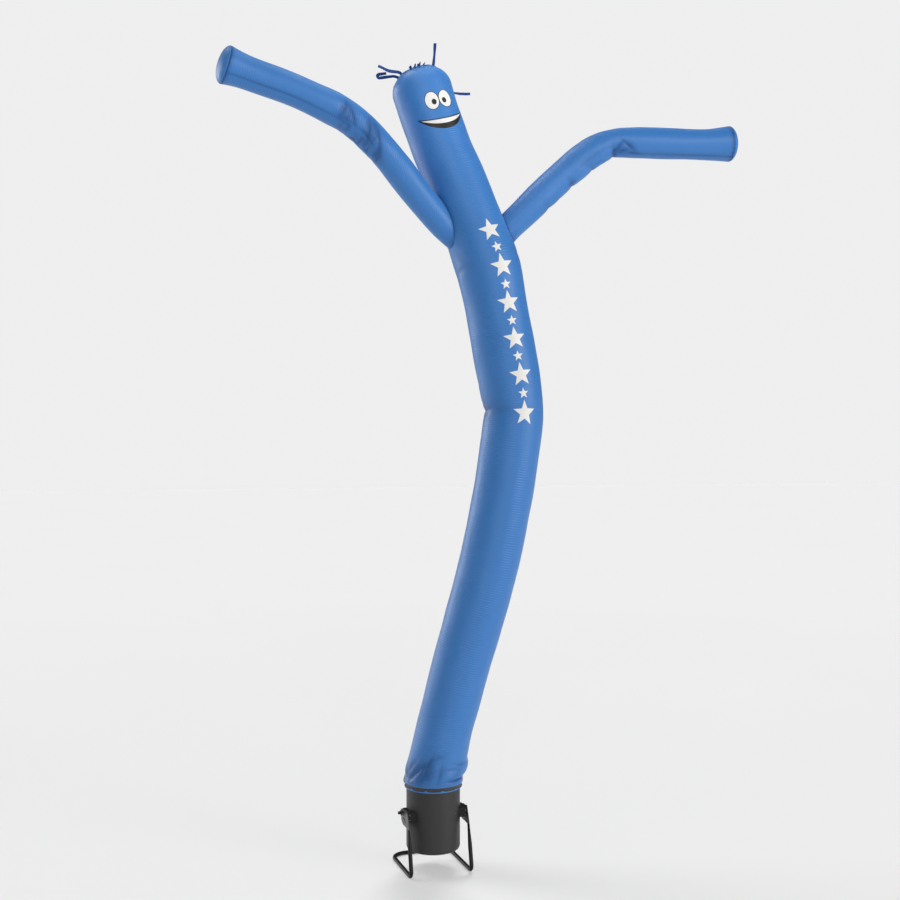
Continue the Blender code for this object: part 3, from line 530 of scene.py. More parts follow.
def smooth_rows(rows, shares):
    """A table's columns at shares of the way along a smooth curve through its rows.

    The first two columns are a place.  Between rows the curve is a cubic whose end slopes are
    the mean of the slopes beside each row, weighted by the other side's length.
    """
    table = np.array(rows, float)
    spans = np.hypot(*np.diff(table[:, :2], axis=0).T)
    at = np.concatenate(([0.0], np.cumsum(spans)))
    chords = np.diff(table, axis=0) / spans[:, None]
    slopes = np.empty_like(table)
    weight = spans[:-1, None] + spans[1:, None]
    slopes[1:-1] = (chords[:-1] * spans[1:, None] + chords[1:] * spans[:-1, None]) / weight
    slopes[0], slopes[-1] = chords[0], chords[-1]
    places = np.asarray(shares) * at[-1]
    row = np.clip(np.searchsorted(at, places, side="right") - 1, 0, len(spans) - 1)
    span = spans[row][:, None]
    t = ((places - at[row]) / spans[row])[:, None]
    return ((2 * t**3 - 3 * t**2 + 1) * table[row] + (t**3 - 2 * t**2 + t) * span * slopes[row]
            + (3 * t**2 - 2 * t**3) * table[row + 1] + (t**3 - t**2) * span * slopes[row + 1])


def spaced(spacing):
    """Places from 0 to 1 whose steps follow a table of ends and spacings."""
    places = [0.0]
    for end, step in spacing:
        count = round((end - places[-1]) / step)
        places.extend(np.linspace(places[-1], end, count + 1)[1:])
    return np.array(places) / places[-1]


def unit(vectors):
    """Vectors scaled to a length of 1."""
    return vectors / np.linalg.norm(vectors, axis=-1)[..., None]


def tangents(points):
    """Unit directions along a line, from the points on both sides of each."""
    return unit(np.gradient(points, axis=0))


def distances(points):
    """How far each point of a line is along it."""
    steps = np.linalg.norm(np.diff(points, axis=0), axis=1)
    return np.concatenate(([0.0], np.cumsum(steps)))


class Tube:
    """A round tube on a smooth line, read at any place.

    The point at a distance along and an angle around is centre + (radius + lift) times
    (first cos angle + second sin angle), each read from the line's rows by distance.
    """

    def __init__(self, centres, radii, ahead, zero):
        first = unit(zero - ahead * (ahead @ zero)[:, None])
        second = np.cross(ahead, first)
        self.along = distances(np.column_stack((centres, radii)))
        self.length = self.along[-1]
        self.columns = np.hstack((centres, radii[:, None], first, second)).T

    def read(self, along):
        """Centre, radius, first and second spoke at each distance, as ten columns."""
        columns = [np.interp(along, self.along, column) for column in self.columns]
        return np.stack(columns, axis=-1)

    def radius(self, along):
        return np.interp(along, self.along, self.columns[3])

    def moved(self, distance):
        """The same tube with its distances counted from further down."""
        other = copy.copy(self)
        other.along = self.along + distance
        other.length = self.length + distance
        return other

    def points(self, along, angle, lift=0.0):
        row = self.read(along)
        spokes = (row[..., 4:7] * np.cos(angle)[..., None]
                  + row[..., 7:10] * np.sin(angle)[..., None])
        return row[..., :3] + (row[..., 3] + lift)[..., None] * spokes


def fold_depth(folds, along, angle, radius, spread=1.0):
    """How deep the folds are: each falls off exponentially across and as a bell curve along.

    A small constant under the root rounds a fold's bed, and nearly its own root is taken off.
    """
    depth = np.zeros(np.broadcast(along, angle).shape)
    for place, degrees, slant, half_length, half_width, deep in folds:
        turn = wrapped_angle(angle - math.radians(degrees), TURN)
        across, ahead = radius * turn, along - place
        lean = math.radians(slant)
        run = ahead * math.cos(lean) + across * math.sin(lean)
        off = across * math.cos(lean) - ahead * math.sin(lean)
        bed = np.sqrt((off / half_width / spread) ** 2 + 0.02) - 0.14
        depth += deep * np.exp(-(run / half_length) ** 2 - bed)
    return depth


def crease_shade(folds, along, angle, radius, depth, look):
    """The painted shade in the creases: the folds' own depth and a wider one, as a share of the
    darkest.
    """
    spread, darkest, most = look
    wide = fold_depth(folds, along, angle, radius, spread)
    return np.clip((wide + depth) / darkest, 0, most)


def ripple(along, angle, seed, size):
    """Slow unevenness: a sum of eight products of sines, seeded, mostly less than size high."""
    rng = np.random.default_rng(seed)
    total = np.zeros(np.broadcast(along, angle).shape)
    for _ in range(8):
        waves = rng.integers(1, 6)
        pitch = rng.uniform(0.18, 0.75)
        start = rng.uniform(0, TURN, 2)
        total += np.sin(TURN * along / pitch + start[0]) * np.sin(waves * angle + start[1])
    return total * size / 4


def crumple(along, angle, seed, size):
    """Sharp small creases, deepest where a sine is 0: a mean of (1 - |sine|)^3 in seven slants."""
    rng = np.random.default_rng(seed)
    total = np.zeros(np.broadcast(along, angle).shape)
    for _ in range(7):
        waves = rng.integers(2, 8) * rng.choice((-1, 1))
        pitch, start = rng.uniform(0.12, 0.34), rng.uniform(0, TURN)
        bend = 0.7 * np.sin(2 * angle + along * 9 + start)
        total += (1 - np.abs(np.sin(math.pi * along / pitch + waves * angle + start + bend))) ** 3
    return total * size / 7 - size * 0.14


# ---------------------------------------------------------------- meshes
def grid_faces(rows, sides, closed):
    """Quads of a grid of rows by sides, wrapped round when closed, and their corners' columns."""
    across = sides if closed else sides - 1
    row, column = np.meshgrid(np.arange(rows - 1), np.arange(across), indexing="ij")
    row, column = row.ravel(), column.ravel()
    rows4 = np.stack((row, row, row + 1, row + 1), axis=1)
    columns4 = np.stack((column, column + 1, column + 1, column), axis=1)
    return rows4 * sides + columns4 % sides, rows4, columns4


def surface_piece(name, points, closed=True, apex=None, lids=False, chart=None, creases=None):
    """A mesh object from a grid of points, on the drum's axis, with a chart for its pattern.

    chart gives each row's share along; around is the column's share.  An apex closes the last
    row, and lids close the first and last.
    """
    rows, sides = points.shape[:2]
    quads, rows4, columns4 = grid_faces(rows, sides, closed)
    corners = points.reshape(-1, 3) + AXIS
    faces = quads.tolist()
    share = np.linspace(0, 1, rows) if chart is None else chart
    across = columns4 / (sides if closed else sides - 1)
    places = np.stack((across, share[rows4]), axis=-1).reshape(-1, 2)
    if apex is not None:
        corners = np.vstack((corners, apex + AXIS))
        column = np.arange(sides)
        start = (rows - 1) * sides
        fan = np.stack((start + column, start + (column + 1) % sides,
                        np.full(sides, rows * sides)), axis=1)
        faces += fan.tolist()
        tips = np.stack((column, column + 1, column + 0.5), axis=1) / sides
        heights = np.repeat(np.array([[share[-1], share[-1], 1.0]]), sides, axis=0)
        places = np.vstack((places, np.stack((tips, heights), axis=-1).reshape(-1, 2)))
    if lids:
        low = np.arange(sides)[::-1]
        high = (rows - 1) * sides + np.arange(sides)
        faces += [low.tolist(), high.tolist()]
        places = np.vstack((places, np.zeros((sides, 2)), np.ones((sides, 2))))
    mesh = bpy.data.meshes.new(name)
    mesh.from_pydata(corners, [], faces)
    chart_layer = mesh.uv_layers.new(name="cloth")
    chart_layer.uv.foreach_set("vector", places.astype(np.float32).ravel())
    # Each point's share of painted shade, kept as the crease attribute.
    if creases is not None:
        values = np.zeros(len(corners), np.float32)
        values[:creases.size] = creases.ravel()
        attribute = mesh.attributes.new("crease", "FLOAT", "POINT")
        attribute.data.foreach_set("value", values)
    mesh.shade_smooth()
    piece = bpy.data.objects.new(name, mesh)
    bpy.context.scene.collection.objects.link(piece)
    return piece


def joined(name, pieces):
    """Several pieces as one object, its materials kept."""
    with bpy.context.temp_override(active_object=pieces[0], selected_editable_objects=pieces):
        bpy.ops.object.join()
    pieces[0].name = name
    return pieces[0]


def add_wall(piece, thickness):
    """A cloth wall inside the surface."""
    wall = piece.modifiers.new("wall", "SOLIDIFY")
    wall.thickness = thickness
    wall.offset = -1.0


def dress(piece, paint, nodes=()):
    """Give a piece its material and its body, and hide the nodes that it stands for."""
    if paint is not None:
        piece.data.materials.append(paint.material)
    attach(piece, "root")
    if nodes:
        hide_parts(*nodes)


# ---------------------------------------------------------------- the dancer's lines
def lean(sway):
    """The plan place of a sway along the body's lean."""
    heading = math.radians(LEAN_HEADING)
    return sway * math.cos(heading), -sway * math.sin(heading)


def body_rows(cloth):
    """Centres, radii and ring directions from the bulge up to the crown's base."""
    foot = smooth_rows(FOOT, np.linspace(0, 1, FOOT_RINGS))
    cells = (cloth.fine_cell, cloth.cell, CREASE_CELL, cloth.cell)
    body = smooth_rows(BODY, spaced(zip(RING_REACHES, cells)))[1:]
    x, y = lean(body[:, 1])
    centres = np.vstack((np.stack((foot[:, 2], foot[:, 2] * 0, foot[:, 0]), axis=1),
                         np.stack((x, y, body[:, 0]), axis=1)))
    radii = np.concatenate((foot[:, 1], body[:, 2] / 2))
    ease = eased((centres[:, 2] - FOOT[-1][0]) / LEAN_REACH)[:, None]
    ahead = unit(tangents(centres) * ease + UP * (1 - ease))
    return centres, radii, ahead


def crown_tube(centres, radii, ahead, degrees):
    """The dome's rings: an upright half ellipse turned about the crown's own axis."""
    turn = np.radians(degrees)
    middles = centres[-1] + np.sin(turn)[:, None] * CROWN_RISE * ahead[-1]
    return middles, radii[-1] * np.cos(turn), np.repeat(ahead[-1:], len(turn), axis=0)


def crown_degrees(length, radius):
    """A short length along the dome at its seam, as degrees."""
    angle = math.radians(SEAM_ANGLE)
    return math.degrees(length / math.hypot(radius * math.sin(angle), CROWN_RISE * math.cos(angle)))


def body_tube(cloth):
    """The whole body as one Tube, from the strap to the head panel's seam."""
    centres, radii, ahead = body_rows(cloth)
    seam = SEAM_ANGLE - crown_degrees(SEAM_GAP, radii[-1])
    dome = crown_tube(centres, radii, ahead, np.linspace(0, seam, 16)[1:])
    parts = [np.concatenate(pair) for pair in zip((centres, radii, ahead), dome)]
    return Tube(*parts, FRONT)


def arm_tube(rows, heading):
    """An arm in the upright plane through the body's axis at the shoulder."""
    table = smooth_rows(rows, np.linspace(0.0, 1.0, 220))
    sway = np.interp(SHOULDER_HEIGHT, *np.array(BODY).T[:2])
    angle = math.radians(heading)
    plan = np.array((math.cos(angle), math.sin(angle), 0.0))
    centres = np.array((*lean(sway), 0.0)) + table[:, :1] * plan + table[:, 1:2] * UP
    return Tube(centres, table[:, 2] / 2, tangents(centres), UP)


def arm_start(body, arm, angle):
    """Where each line along the arm leaves the body: the last place inside its surface."""
    along = np.linspace(0.0, arm.length * 0.5, 260)
    points = arm.points(along[:, None], angle[None, :] + 0 * along[:, None])
    line = body.read(np.linspace(*SHOULDER_REACH, 240))
    ahead = tangents(line[:, :3])
    gaps = points[:, :, None, :] - line[None, None, :, :3]
    nearest = np.argmin((gaps**2).sum(axis=-1), axis=-1)
    from_line = points - line[nearest, :3]
    run = (from_line * ahead[nearest]).sum(axis=-1)
    away = np.sqrt((from_line**2).sum(axis=-1) - run**2) - line[nearest, 3]
    inside = away < CLEAR
    last = len(along) - 1 - np.argmax(inside[::-1], axis=0)
    column = np.arange(len(angle))
    after = np.minimum(last + 1, len(along) - 1)
    low, high = away[last, column], away[after, column]
    share = np.clip((CLEAR - low) / np.maximum(high - low, 1e-6), 0.0, 1.0)
    return along[last] + (along[after] - along[last]) * share


# ---------------------------------------------------------------- materials
def arithmetic(operation):
    """An operator of a Wire, which adds a Math node."""
    def combined(self, other):
        return self.math(operation, other)
    return combined


class Wire:
    """A value in a material's node tree; arithmetic on it adds Math nodes."""

    __add__ = __radd__ = arithmetic("ADD")
    __mul__ = __rmul__ = arithmetic("MULTIPLY")
    __sub__ = arithmetic("SUBTRACT")
    __truediv__ = arithmetic("DIVIDE")
    __pow__ = arithmetic("POWER")

    def __init__(self, paint, socket):
        self.paint, self.socket = paint, socket

    def math(self, operation, *others):
        return self.paint.node("ShaderNodeMath", {"operation": operation}, (self, *others))

    def __rsub__(self, other):
        return self.paint.node("ShaderNodeMath", {"operation": "SUBTRACT"}, (other, self))

    def size(self):
        return self.math("ABSOLUTE")

    def larger(self, other):
        return self.math("MAXIMUM", other)

    def smaller(self, other):
        return self.math("MINIMUM", other)

    def below(self, limit, soft):
        """1 where the value is under the limit, falling to 0 over a soft edge."""
        return ((limit - self) / soft + 0.5).smaller(1.0).larger(0.0)


class Paint:
    """One material: a Principled shader, and a method that adds any other node."""

    def __init__(self, name, colour, roughness, **fixed):
        self.material = bpy.data.materials.new(name)
        self.material.use_nodes = True
        self.tree = self.material.node_tree
        self.shader = self.tree.nodes["Principled BSDF"]
        self.set(Base_Color=(*colour, 1.0), Roughness=roughness, **fixed)

    def set(self, **sockets):
        for name, value in sockets.items():
            self.feed(self.shader.inputs[name.replace("_", " ")], value)

    def feed(self, socket, value):
        if isinstance(value, Wire):
            self.tree.links.new(value.socket, socket)
        else:
            socket.default_value = value

    def node(self, kind, settings, sockets, out=0):
        """A node of any kind: its settings first, then its sockets by number or name."""
        made = self.tree.nodes.new(kind)
        for name, value in settings.items():
            setattr(made, name, value)
        pairs = sockets.items() if isinstance(sockets, dict) else enumerate(sockets)
        for key, value in pairs:
            self.feed(made.inputs[key], value)
        return Wire(self, made.outputs[out])

    def chart(self, girth, length):
        """The cloth's own chart as metres around and along."""
        place = self.node("ShaderNodeUVMap", {"uv_map": "cloth"}, ())
        around = self.node("ShaderNodeSeparateXYZ", {}, (place,))
        along = self.node("ShaderNodeSeparateXYZ", {}, (place,), out=1)
        return around * girth, along * length

    def object_place(self):
        return self.node("ShaderNodeTexCoord", {}, (), out=3)

    def flat_vector(self, x, y):
        return self.node("ShaderNodeCombineXYZ", {}, (x, y))

    def noise(self, place, scale, detail, roughness=0.5):
        sockets = {"Vector": place, "Scale": scale, "Detail": detail, "Roughness": roughness}
        return self.node("ShaderNodeTexNoise", {}, sockets)

    def mix(self, factor, first, second):
        """A colour between two, each a link or three numbers."""
        first, second = (value if isinstance(value, Wire) else (*value, 1.0)
                         for value in (first, second))
        return self.node("ShaderNodeMix", {"data_type": "RGBA"}, {0: factor, 6: first, 7: second},
                         out=2)

    def bump(self, height, distance, strength=1.0):
        sockets = {"Height": height, "Distance": distance, "Strength": strength}
        return self.node("ShaderNodeBump", {}, sockets)


def repeated(value, pitch):
    """Distance from the middle of each repeat, from -pitch/2 to pitch/2."""
    return (value + pitch / 2).math("FLOORED_MODULO", pitch) - pitch / 2


def star_mask(across, along, size):
    """A five-pointed star: fold the angle to one half point, and keep what is under its edge."""
    dent, half = size * STAR_DENT, math.pi / 5
    reach = (across * across + along * along).math("SQRT")
    angle = repeated(across.math("ARCTAN2", along), 2 * half).size()
    x, y = reach * angle.math("COSINE"), reach * angle.math("SINE")
    edge_x, edge_y = dent * math.cos(half) - size, dent * math.sin(half)
    edge = math.hypot(edge_x, edge_y)
    outside = (x - size) * (edge_y / edge) - y * (edge_x / edge)
    return outside.below(0.0, INK_EDGE)


def oval_mask(across, along, wide, high):
    """An ellipse: the root of the squared shares of its half sizes is under 1."""
    share = ((across / wide) ** 2.0 + (along / high) ** 2.0).math("SQRT")
    return share.below(1.0, INK_EDGE / min(wide, high))


def tinted(colour, share, lift=0.0):
    """A colour made paler or darker by a share, and lifted by an amount."""
    return tuple(part * share + lift for part in colour)


def fall(distance, reach):
    """e to the minus a distance's share of its reach."""
    return (distance / reach).math("MULTIPLY", -1.0).math("EXPONENT")


def seam_relief(around, along, seam):
    """A lengthwise seam: a groove, and fine gathers across it that die away to both sides, with the
    groove's share for painted shade along it.
    """
    middle, start, end, depth = seam
    off = (around - middle).size()
    here = along.below(end, 0.05) * (1 - along.below(start, 0.05))
    groove = fall(off, SEAM_GROOVE)
    spread = fall(off, SEAM_GATHER)
    tucks = (along * (TURN / SEAM_GATHER_PITCH)).math("SINE")
    return (tucks * spread * 0.35 - groove) * here * depth, groove * here


def stitched_end(around, along, end):
    """A cross seam: the doubled cloth, and a broken row of stitches on each side of it."""
    off = (along - end).size()
    row = (off - STITCH_INSET).size().below(STITCH_WIDTH, STITCH_EDGE)
    dash = repeated(around, STITCH_PITCH).size().below(STITCH_HALF_LENGTH, STITCH_EDGE)
    return off.below(SEAM_FOLD, 0.002), row * dash


def nylon(name, girth, length, seams=(), ends=()):
    """Satin coated nylon: ripstop threads, fine hoops, soft crumple, stitched seams, and painted
    shade in its creases and seam grooves.
    """
    cloth = chosen("cloth")
    paint = Paint(name, cloth.colour, 0.42, IOR=1.46, Sheen_Weight=0.08, Sheen_Roughness=0.35,
                  Specular_IOR_Level=0.42)
    around, along = paint.chart(girth, length)
    creases = paint.noise(paint.flat_vector(around * 6.0, along * 6.0), 1.6, 4.0, 0.55)
    patches = paint.noise(paint.flat_vector(around * 3.0, along * 1.2), 1.3, 2.0)
    hoops = (along * (TURN / cloth.rib_pitch) + creases * 5.0).math("SINE")
    strong = (patches - 0.36).larger(0.0) * 4.0
    across, lengthwise = (repeated(place, cloth.grid_pitch).size().below(THREAD_WIDTH, 0.0005)
                          for place in (around, along))
    threads = across.larger(lengthwise)
    height = (creases * CREASE_RELIEF + hoops * strong.smaller(1.0) * HOOP_RELIEF
              + threads * THREAD_RELIEF)
    # Painted shade, as a share: from the mesh's crease attribute where it has one, then along each
    # seam's groove; the stitches are drawn darker too.
    dark = paint.node("ShaderNodeAttribute", {"attribute_name": "crease"}, (), out=2)
    for seam in seams:
        relief, groove = seam_relief(around, along, seam)
        height = height + relief
        dark = dark + groove * 0.55
    for end in ends:
        fold, stitches = stitched_end(around, along, end)
        height = height + fold * DOUBLED_RELIEF - stitches * STITCH_RELIEF
        dark = dark + stitches * 0.25
    base = paint.mix((patches * 0.5 + creases * 0.3).smaller(1.0),
                     tinted(cloth.colour, 0.93), tinted(cloth.colour, 1.10))
    # The colour darkened towards the painted shade colour by that share.
    base = paint.mix(dark.smaller(0.85), base, tuple(cloth.painted_shade))
    rough = 0.34 + creases * 0.16 + threads * 0.05
    paint.set(Base_Color=base, Roughness=rough, Normal=paint.bump(height, 1.0))
    return paint, base, around, along


def star_column(ink, wrapped, along, first, last):
    """Large stars at even steps up the front, and a small one between each two."""
    pitch = (last - first) / (STAR_COUNT - 1)
    over = pitch * 0.45
    in_column = along.below(last + over, 0.001) * (1 - along.below(first - over, 0.001))
    between = along.below(last, 0.001) * (1 - along.below(first, 0.001))
    large = star_mask(wrapped, repeated(along - first, pitch), ink.star_size) * in_column
    small = star_mask(wrapped, repeated(along - first - pitch / 2, pitch), ink.small_star_size)
    return large.larger(small * between)


def plain_face(ink, wrapped, along, eyes, mouth):
    """The white and the black of two oval eyes, and of a smile between two parabolas."""
    wide, high = ink.eye_size
    sides = wrapped.size() - wide * 1.06
    rise = along - eyes
    eye = oval_mask(sides, rise, wide, high)
    rim = oval_mask(sides, rise, wide + EYE_RIM, high + EYE_RIM)
    pupil = oval_mask(sides + wide * 0.25, rise + high * 0.18, wide * 0.36, high * 0.34)
    half, deep, lift = ink.mouth_size
    share = (wrapped / half) ** 2.0
    over_lip = along - (share * lift + mouth)
    under_lip = share * (lift + deep) + (mouth - deep) - along
    smile = over_lip.below(0.0, INK_EDGE) * under_lip.below(0.0, INK_EDGE)
    under_teeth = share * (lift + deep * 0.55) + (mouth - deep * 0.55) - along
    teeth = smile * under_teeth.below(-0.004, INK_EDGE) * over_lip.below(-0.008, INK_EDGE)
    black = (rim - eye).larger(pupil).larger(smile - teeth)
    return eye.larger(teeth), black.smaller(1.0)


def printed_nylon(name, girth, length, tube):
    """The body's nylon with a plain smiling face and a column of stars printed on its front."""
    ink = chosen("print")
    seam = (0.5 * girth, 0.0, length, BODY_SEAM_DEPTH)
    paint, base, around, along = nylon(name, girth, length, seams=(seam,), ends=(length,))
    front = tube.points(tube.along, np.zeros_like(tube.along))
    heights = (*STAR_HEIGHTS, EYE_HEIGHT, MOUTH_HEIGHT)
    first, last, eyes, mouth = np.interp(heights, front[:, 2], tube.along)
    low, high = PRINT_ANGLES
    turn = (along - first) * ((high - low) / (last - first)) + low
    wrapped = repeated(around - turn.smaller(high) * (girth / 360), girth)
    white, black = plain_face(ink, wrapped, along, eyes, mouth)
    white = white.larger(star_column(ink, wrapped, along, first, last))
    colour = paint.mix(white, base, tuple(ink.white))
    paint.set(Base_Color=paint.mix(black, colour, tuple(ink.black)))
    return paint


def ribbon_paint(colour):
    """Hair ribbon: nylon with fine creases in its bump, and painted light and shade of those
    creases in its colour.
    """
    paint = Paint("hair_nylon", colour, 0.45, Specular_IOR_Level=0.22)
    crease_bump_and_painted_light = paint.noise(paint.object_place(), 60.0, 3.0)
    # Painted light and shade: paler where the creases stand up, darker in their hollows.
    tone = paint.mix(crease_bump_and_painted_light, tinted(colour, 0.75), tinted(colour, 1.6, 0.002))
    paint.set(Base_Color=tone, Normal=paint.bump(crease_bump_and_painted_light, 0.0012))
    return paint


def metal_paint(name, colour, roughness, dust, metallic=0.25, gloss=0.5):
    """Powder-coated metal: fine orange peel, faint dust, worn a little paler in patches."""
    paint = Paint(name, colour, roughness, Metallic=metallic, Specular_IOR_Level=gloss)
    place = paint.object_place()
    peel = paint.noise(place, 900.0, 2.0)
    patches = paint.noise(place, 9.0, 4.0, 0.6)
    worn = (patches - 0.5).larger(0.0) * dust * 4.0
    paint.set(Base_Color=paint.mix(worn.smaller(1.0), colour, tinted(colour, 1.7, 0.01)),
              Roughness=roughness + (patches - 0.5) * 0.25,
              Normal=paint.bump(peel, 0.0004, 0.6))
    return paint


def strap_paint(colour):
    """Woven webbing: two crossing sets of threads over the strap's own chart."""
    paint = Paint("strap_webbing", colour, 0.72, Sheen_Weight=0.3)
    around, up = paint.chart(TURN * BAND_BOX[1].x, 1.0)
    rib = (around * (TURN / 0.0042)).math("SINE")
    pick = (up * (TURN * 22)).math("SINE")
    weave = rib * pick
    # Painted light and shade of the weave: paler on its raised threads, darker between them.
    tone = paint.mix(weave * 0.5 + 0.5, tinted(colour, 0.6), tinted(colour, 1.6))
    paint.set(Base_Color=tone, Normal=paint.bump(weave, 0.0007))
    return paint


# ---------------------------------------------------------------- cloth pieces
def hem_rings(angle):
    """The hem turned up under the strap: its rings, with a pucker pulled out at each gather."""
    hem = smooth_rows([(z, r, lift) for r, z, lift in HEM], np.linspace(0, 1, HEM_RINGS))
    turn = wrapped_angle(angle - math.radians(PUCKER_PHASE), TURN / PUCKERS)
    pucker = np.exp(-np.abs(turn * HEM_RADIUS / PUCKER_WIDTH) ** 1.4)[None, :] * hem[:, 2:3]
    reach = hem[:, 1:2] + pucker * PUCKER_REACH[0]
    height = hem[:, 0:1] + pucker * PUCKER_REACH[1]
    return np.stack((reach * np.sin(angle), -reach * np.cos(angle), height + 0 * angle), axis=-1)


def body_surface(cloth, tube):
    """The body's grid: the hem, then the tube with folds pressed in, and the painted shade of its
    creases.
    """
    angle = ring_angles(cloth.body_sides)
    skirt = hem_rings(angle)
    along = tube.along[1:, None]
    turned = angle[None, :] + 0 * along
    radius = tube.radius(along)
    depth = fold_depth(BODY_FOLDS, along, turned, radius)
    begins, growth = SLACK_START
    slack = bell(along / SLACK_REACH) * eased((along - begins) / growth)
    looser, reach = CREASE_SLACK
    slack = slack + looser * bell((along - CREASE_HEIGHT) / reach)
    crease_draw, ripple_draw = BODY_DRAWS
    depth = depth + crumple(along, turned, crease_draw, CREASE_HEIGHTS[0]) * slack
    free = eased((along - FREE_START) / FREE_REACH)
    middle, spread = FOOT_TUCK_PLACE
    foot = gathers(angle, *FOOT_TUCKS) * bell((along - middle) / spread)
    crown = gathers(angle, *CROWN_TUCKS) * bell((tube.length - along) / CROWN_TUCK_REACH)
    lift = (ripple(along, turned, ripple_draw, RIPPLE_HEIGHTS[0]) * free - depth * free
            + foot * FOOT_TUCK_DEPTH - crown * CROWN_TUCK_DEPTH)
    points = np.concatenate((skirt, tube.points(along + 0 * turned, turned, lift)))
    painted_shade = crease_shade(BODY_FOLDS, along, turned, radius, depth, BODY_SHADE)
    return points, np.concatenate((np.zeros(skirt.shape[:2]), painted_shade)), len(skirt)


def sew(cloth, piece, paint, nodes, flat, area=None):
    add_wall(piece, cloth.wall)
    dress(piece, paint, nodes)


def build_body(cloth):
    """The body's tube, its chart counted from the hem's foot under the strap."""
    tube = body_tube(cloth)
    points, creases, skirt = body_surface(cloth, tube)
    hem_length = HEM[-1][1] - HEM[HEM_FOOT][1]
    tube = tube.moved(hem_length)
    rows = np.concatenate((np.linspace(0.0, hem_length, skirt), tube.along[1:]))
    piece = surface_piece("body_cloth", points, chart=rows / tube.length, creases=creases)
    girth = TURN * BODY_CUT_RADIUS
    paint = printed_nylon("printed_nylon", girth, tube.length, tube)
    sew(cloth, piece, paint, ["body_tube"], (girth, tube.length))


def sew_panel(cloth, part, side, tube, lift, apex, rim, reach):
    """A round panel on a dome of rings, closed at its apex and cut as a flat disc."""
    angle = ring_angles(lift.shape[1])[None, :]
    along = tube.along[:, None] + 0 * angle
    points = tube.points(along, angle + 0 * along, lift)
    piece = surface_piece(f"{part}_cloth{side}", points, apex=apex)
    paint = nylon(f"{part}_nylon{side}", TURN * rim * 0.5, reach, ends=(0.0,))[0]
    sew(cloth, piece, paint, [f"{part}_panel{side}"], (2 * reach, 2 * reach),
        area=math.pi * reach**2)


def build_head(cloth):
    """The round panel sewn into the crown, gathered a little at its seam."""
    centres, radii, ahead = body_rows(cloth)
    degrees = np.linspace(SEAM_ANGLE, 89.0, 26)
    middles, spread, facing = crown_tube(centres, radii, ahead, degrees)
    edge = bell((degrees - SEAM_ANGLE) / 5.0)[:, None]
    lift = -gathers(ring_angles(cloth.body_sides), *CROWN_TUCKS) * edge * CROWN_TUCK_DEPTH
    apex = centres[-1] + ahead[-1] * CROWN_RISE
    tube = Tube(middles, spread, facing, FRONT)
    rim = spread[0]
    sew_panel(cloth, "head", "", tube, lift, apex, rim, rim * PANEL_CUT)


def build_arm(cloth, body, side, rows, heading, folds, seam, seed, bend):
    """An arm: its lines start where they leave the body, and end at the hand's seam."""
    arm = arm_tube(rows, heading)
    angle = ring_angles(cloth.arm_sides)
    start = arm_start(body, arm, angle)[None, :]
    count = round((arm.length - start.mean()) / ARM_CELL)
    share = np.linspace(0.0, 1.0, count)[:, None]
    along = start + (arm.length - start) * share
    turned = angle[None, :] + 0 * along
    radius = arm.radius(along)
    from_root, to_hand = along - start, arm.length - along
    depth = fold_depth(folds, along, turned, radius)
    creases = crumple(along, turned, seed, CREASE_HEIGHTS[1])
    depth = depth + creases * bell((along - bend) / BEND_REACH)
    dying, growth = ROOT_TUCK_REACH
    root = np.exp(-(from_root / dying)) * eased(from_root / growth)
    hand = bell(to_hand / HAND_REACH)
    free = eased(from_root / FREE_REACH)
    tucks = root * ROOT_TUCK_DEPTH + hand * HAND_TUCK_DEPTH
    lift = (ripple(along, turned, seed, RIPPLE_HEIGHTS[1]) * free * (1 - hand) - depth * free
            + gathers(angle, *ROOT_TUCKS)[None, :] * tucks)
    painted_shade = crease_shade(folds, along, turned, radius, depth, ARM_SHADE)
    # Painted shade where the arm leaves the body and at its hand's seam, on top of the creases'
    # painted shade.
    painted_shade = painted_shade + END_SHADE[0] * root + END_SHADE[1] * hand
    piece = surface_piece(f"arm_cloth_{side}", arm.points(along, turned, lift), creases=painted_shade)
    girth = TURN * ARM_CUT_RADIUS
    length = arm.length - float(start.mean())
    degrees, begins = seam
    seams = ((girth * degrees / 360, begins, length, SEAM_DEPTH),)
    paint = nylon(f"arm_nylon_{side}", girth, length, seams=seams, ends=(0.0, length))[0]
    sew(cloth, piece, paint, [f"arm_tube_{side}"], (girth, length))
    build_hand(cloth, side, arm)


def build_hand(cloth, side, arm):
    """A round panel that bulges out like a shallow dome, gathered at its seam."""
    end = arm.read(arm.length)
    ahead = np.cross(end[4:7], end[7:10])
    turn = np.radians(np.linspace(0.0, 88.0, 30))
    middles = end[:3] + ahead * (CAP_GAP + HAND_BULGE * np.sin(turn))[:, None]
    tube = Tube(middles, end[3] * np.cos(turn), np.repeat(ahead[None], len(turn), axis=0), UP)
    tucks = sum(bell(np.sin(turn) / reach)[:, None] * depth for reach, depth in PANEL_TUCKS)
    lift = -gathers(ring_angles(cloth.arm_sides), *HAND_TUCKS) * tucks
    apex = end[:3] + ahead * (CAP_GAP + HAND_BULGE)
    reach = end[3] * HAND_CUT
    sew_panel(cloth, "hand", f"_{side}", tube, lift, apex, reach, reach)


# ---------------------------------------------------------------- hair
def crown_frame(cloth):
    """The dome's centre, radius, own axis, and two spokes at its base."""
    centres, radii, ahead = body_rows(cloth)
    first = unit(FRONT - ahead[-1] * (ahead[-1] @ FRONT))
    return centres[-1], radii[-1], ahead[-1], first, np.cross(ahead[-1], first)


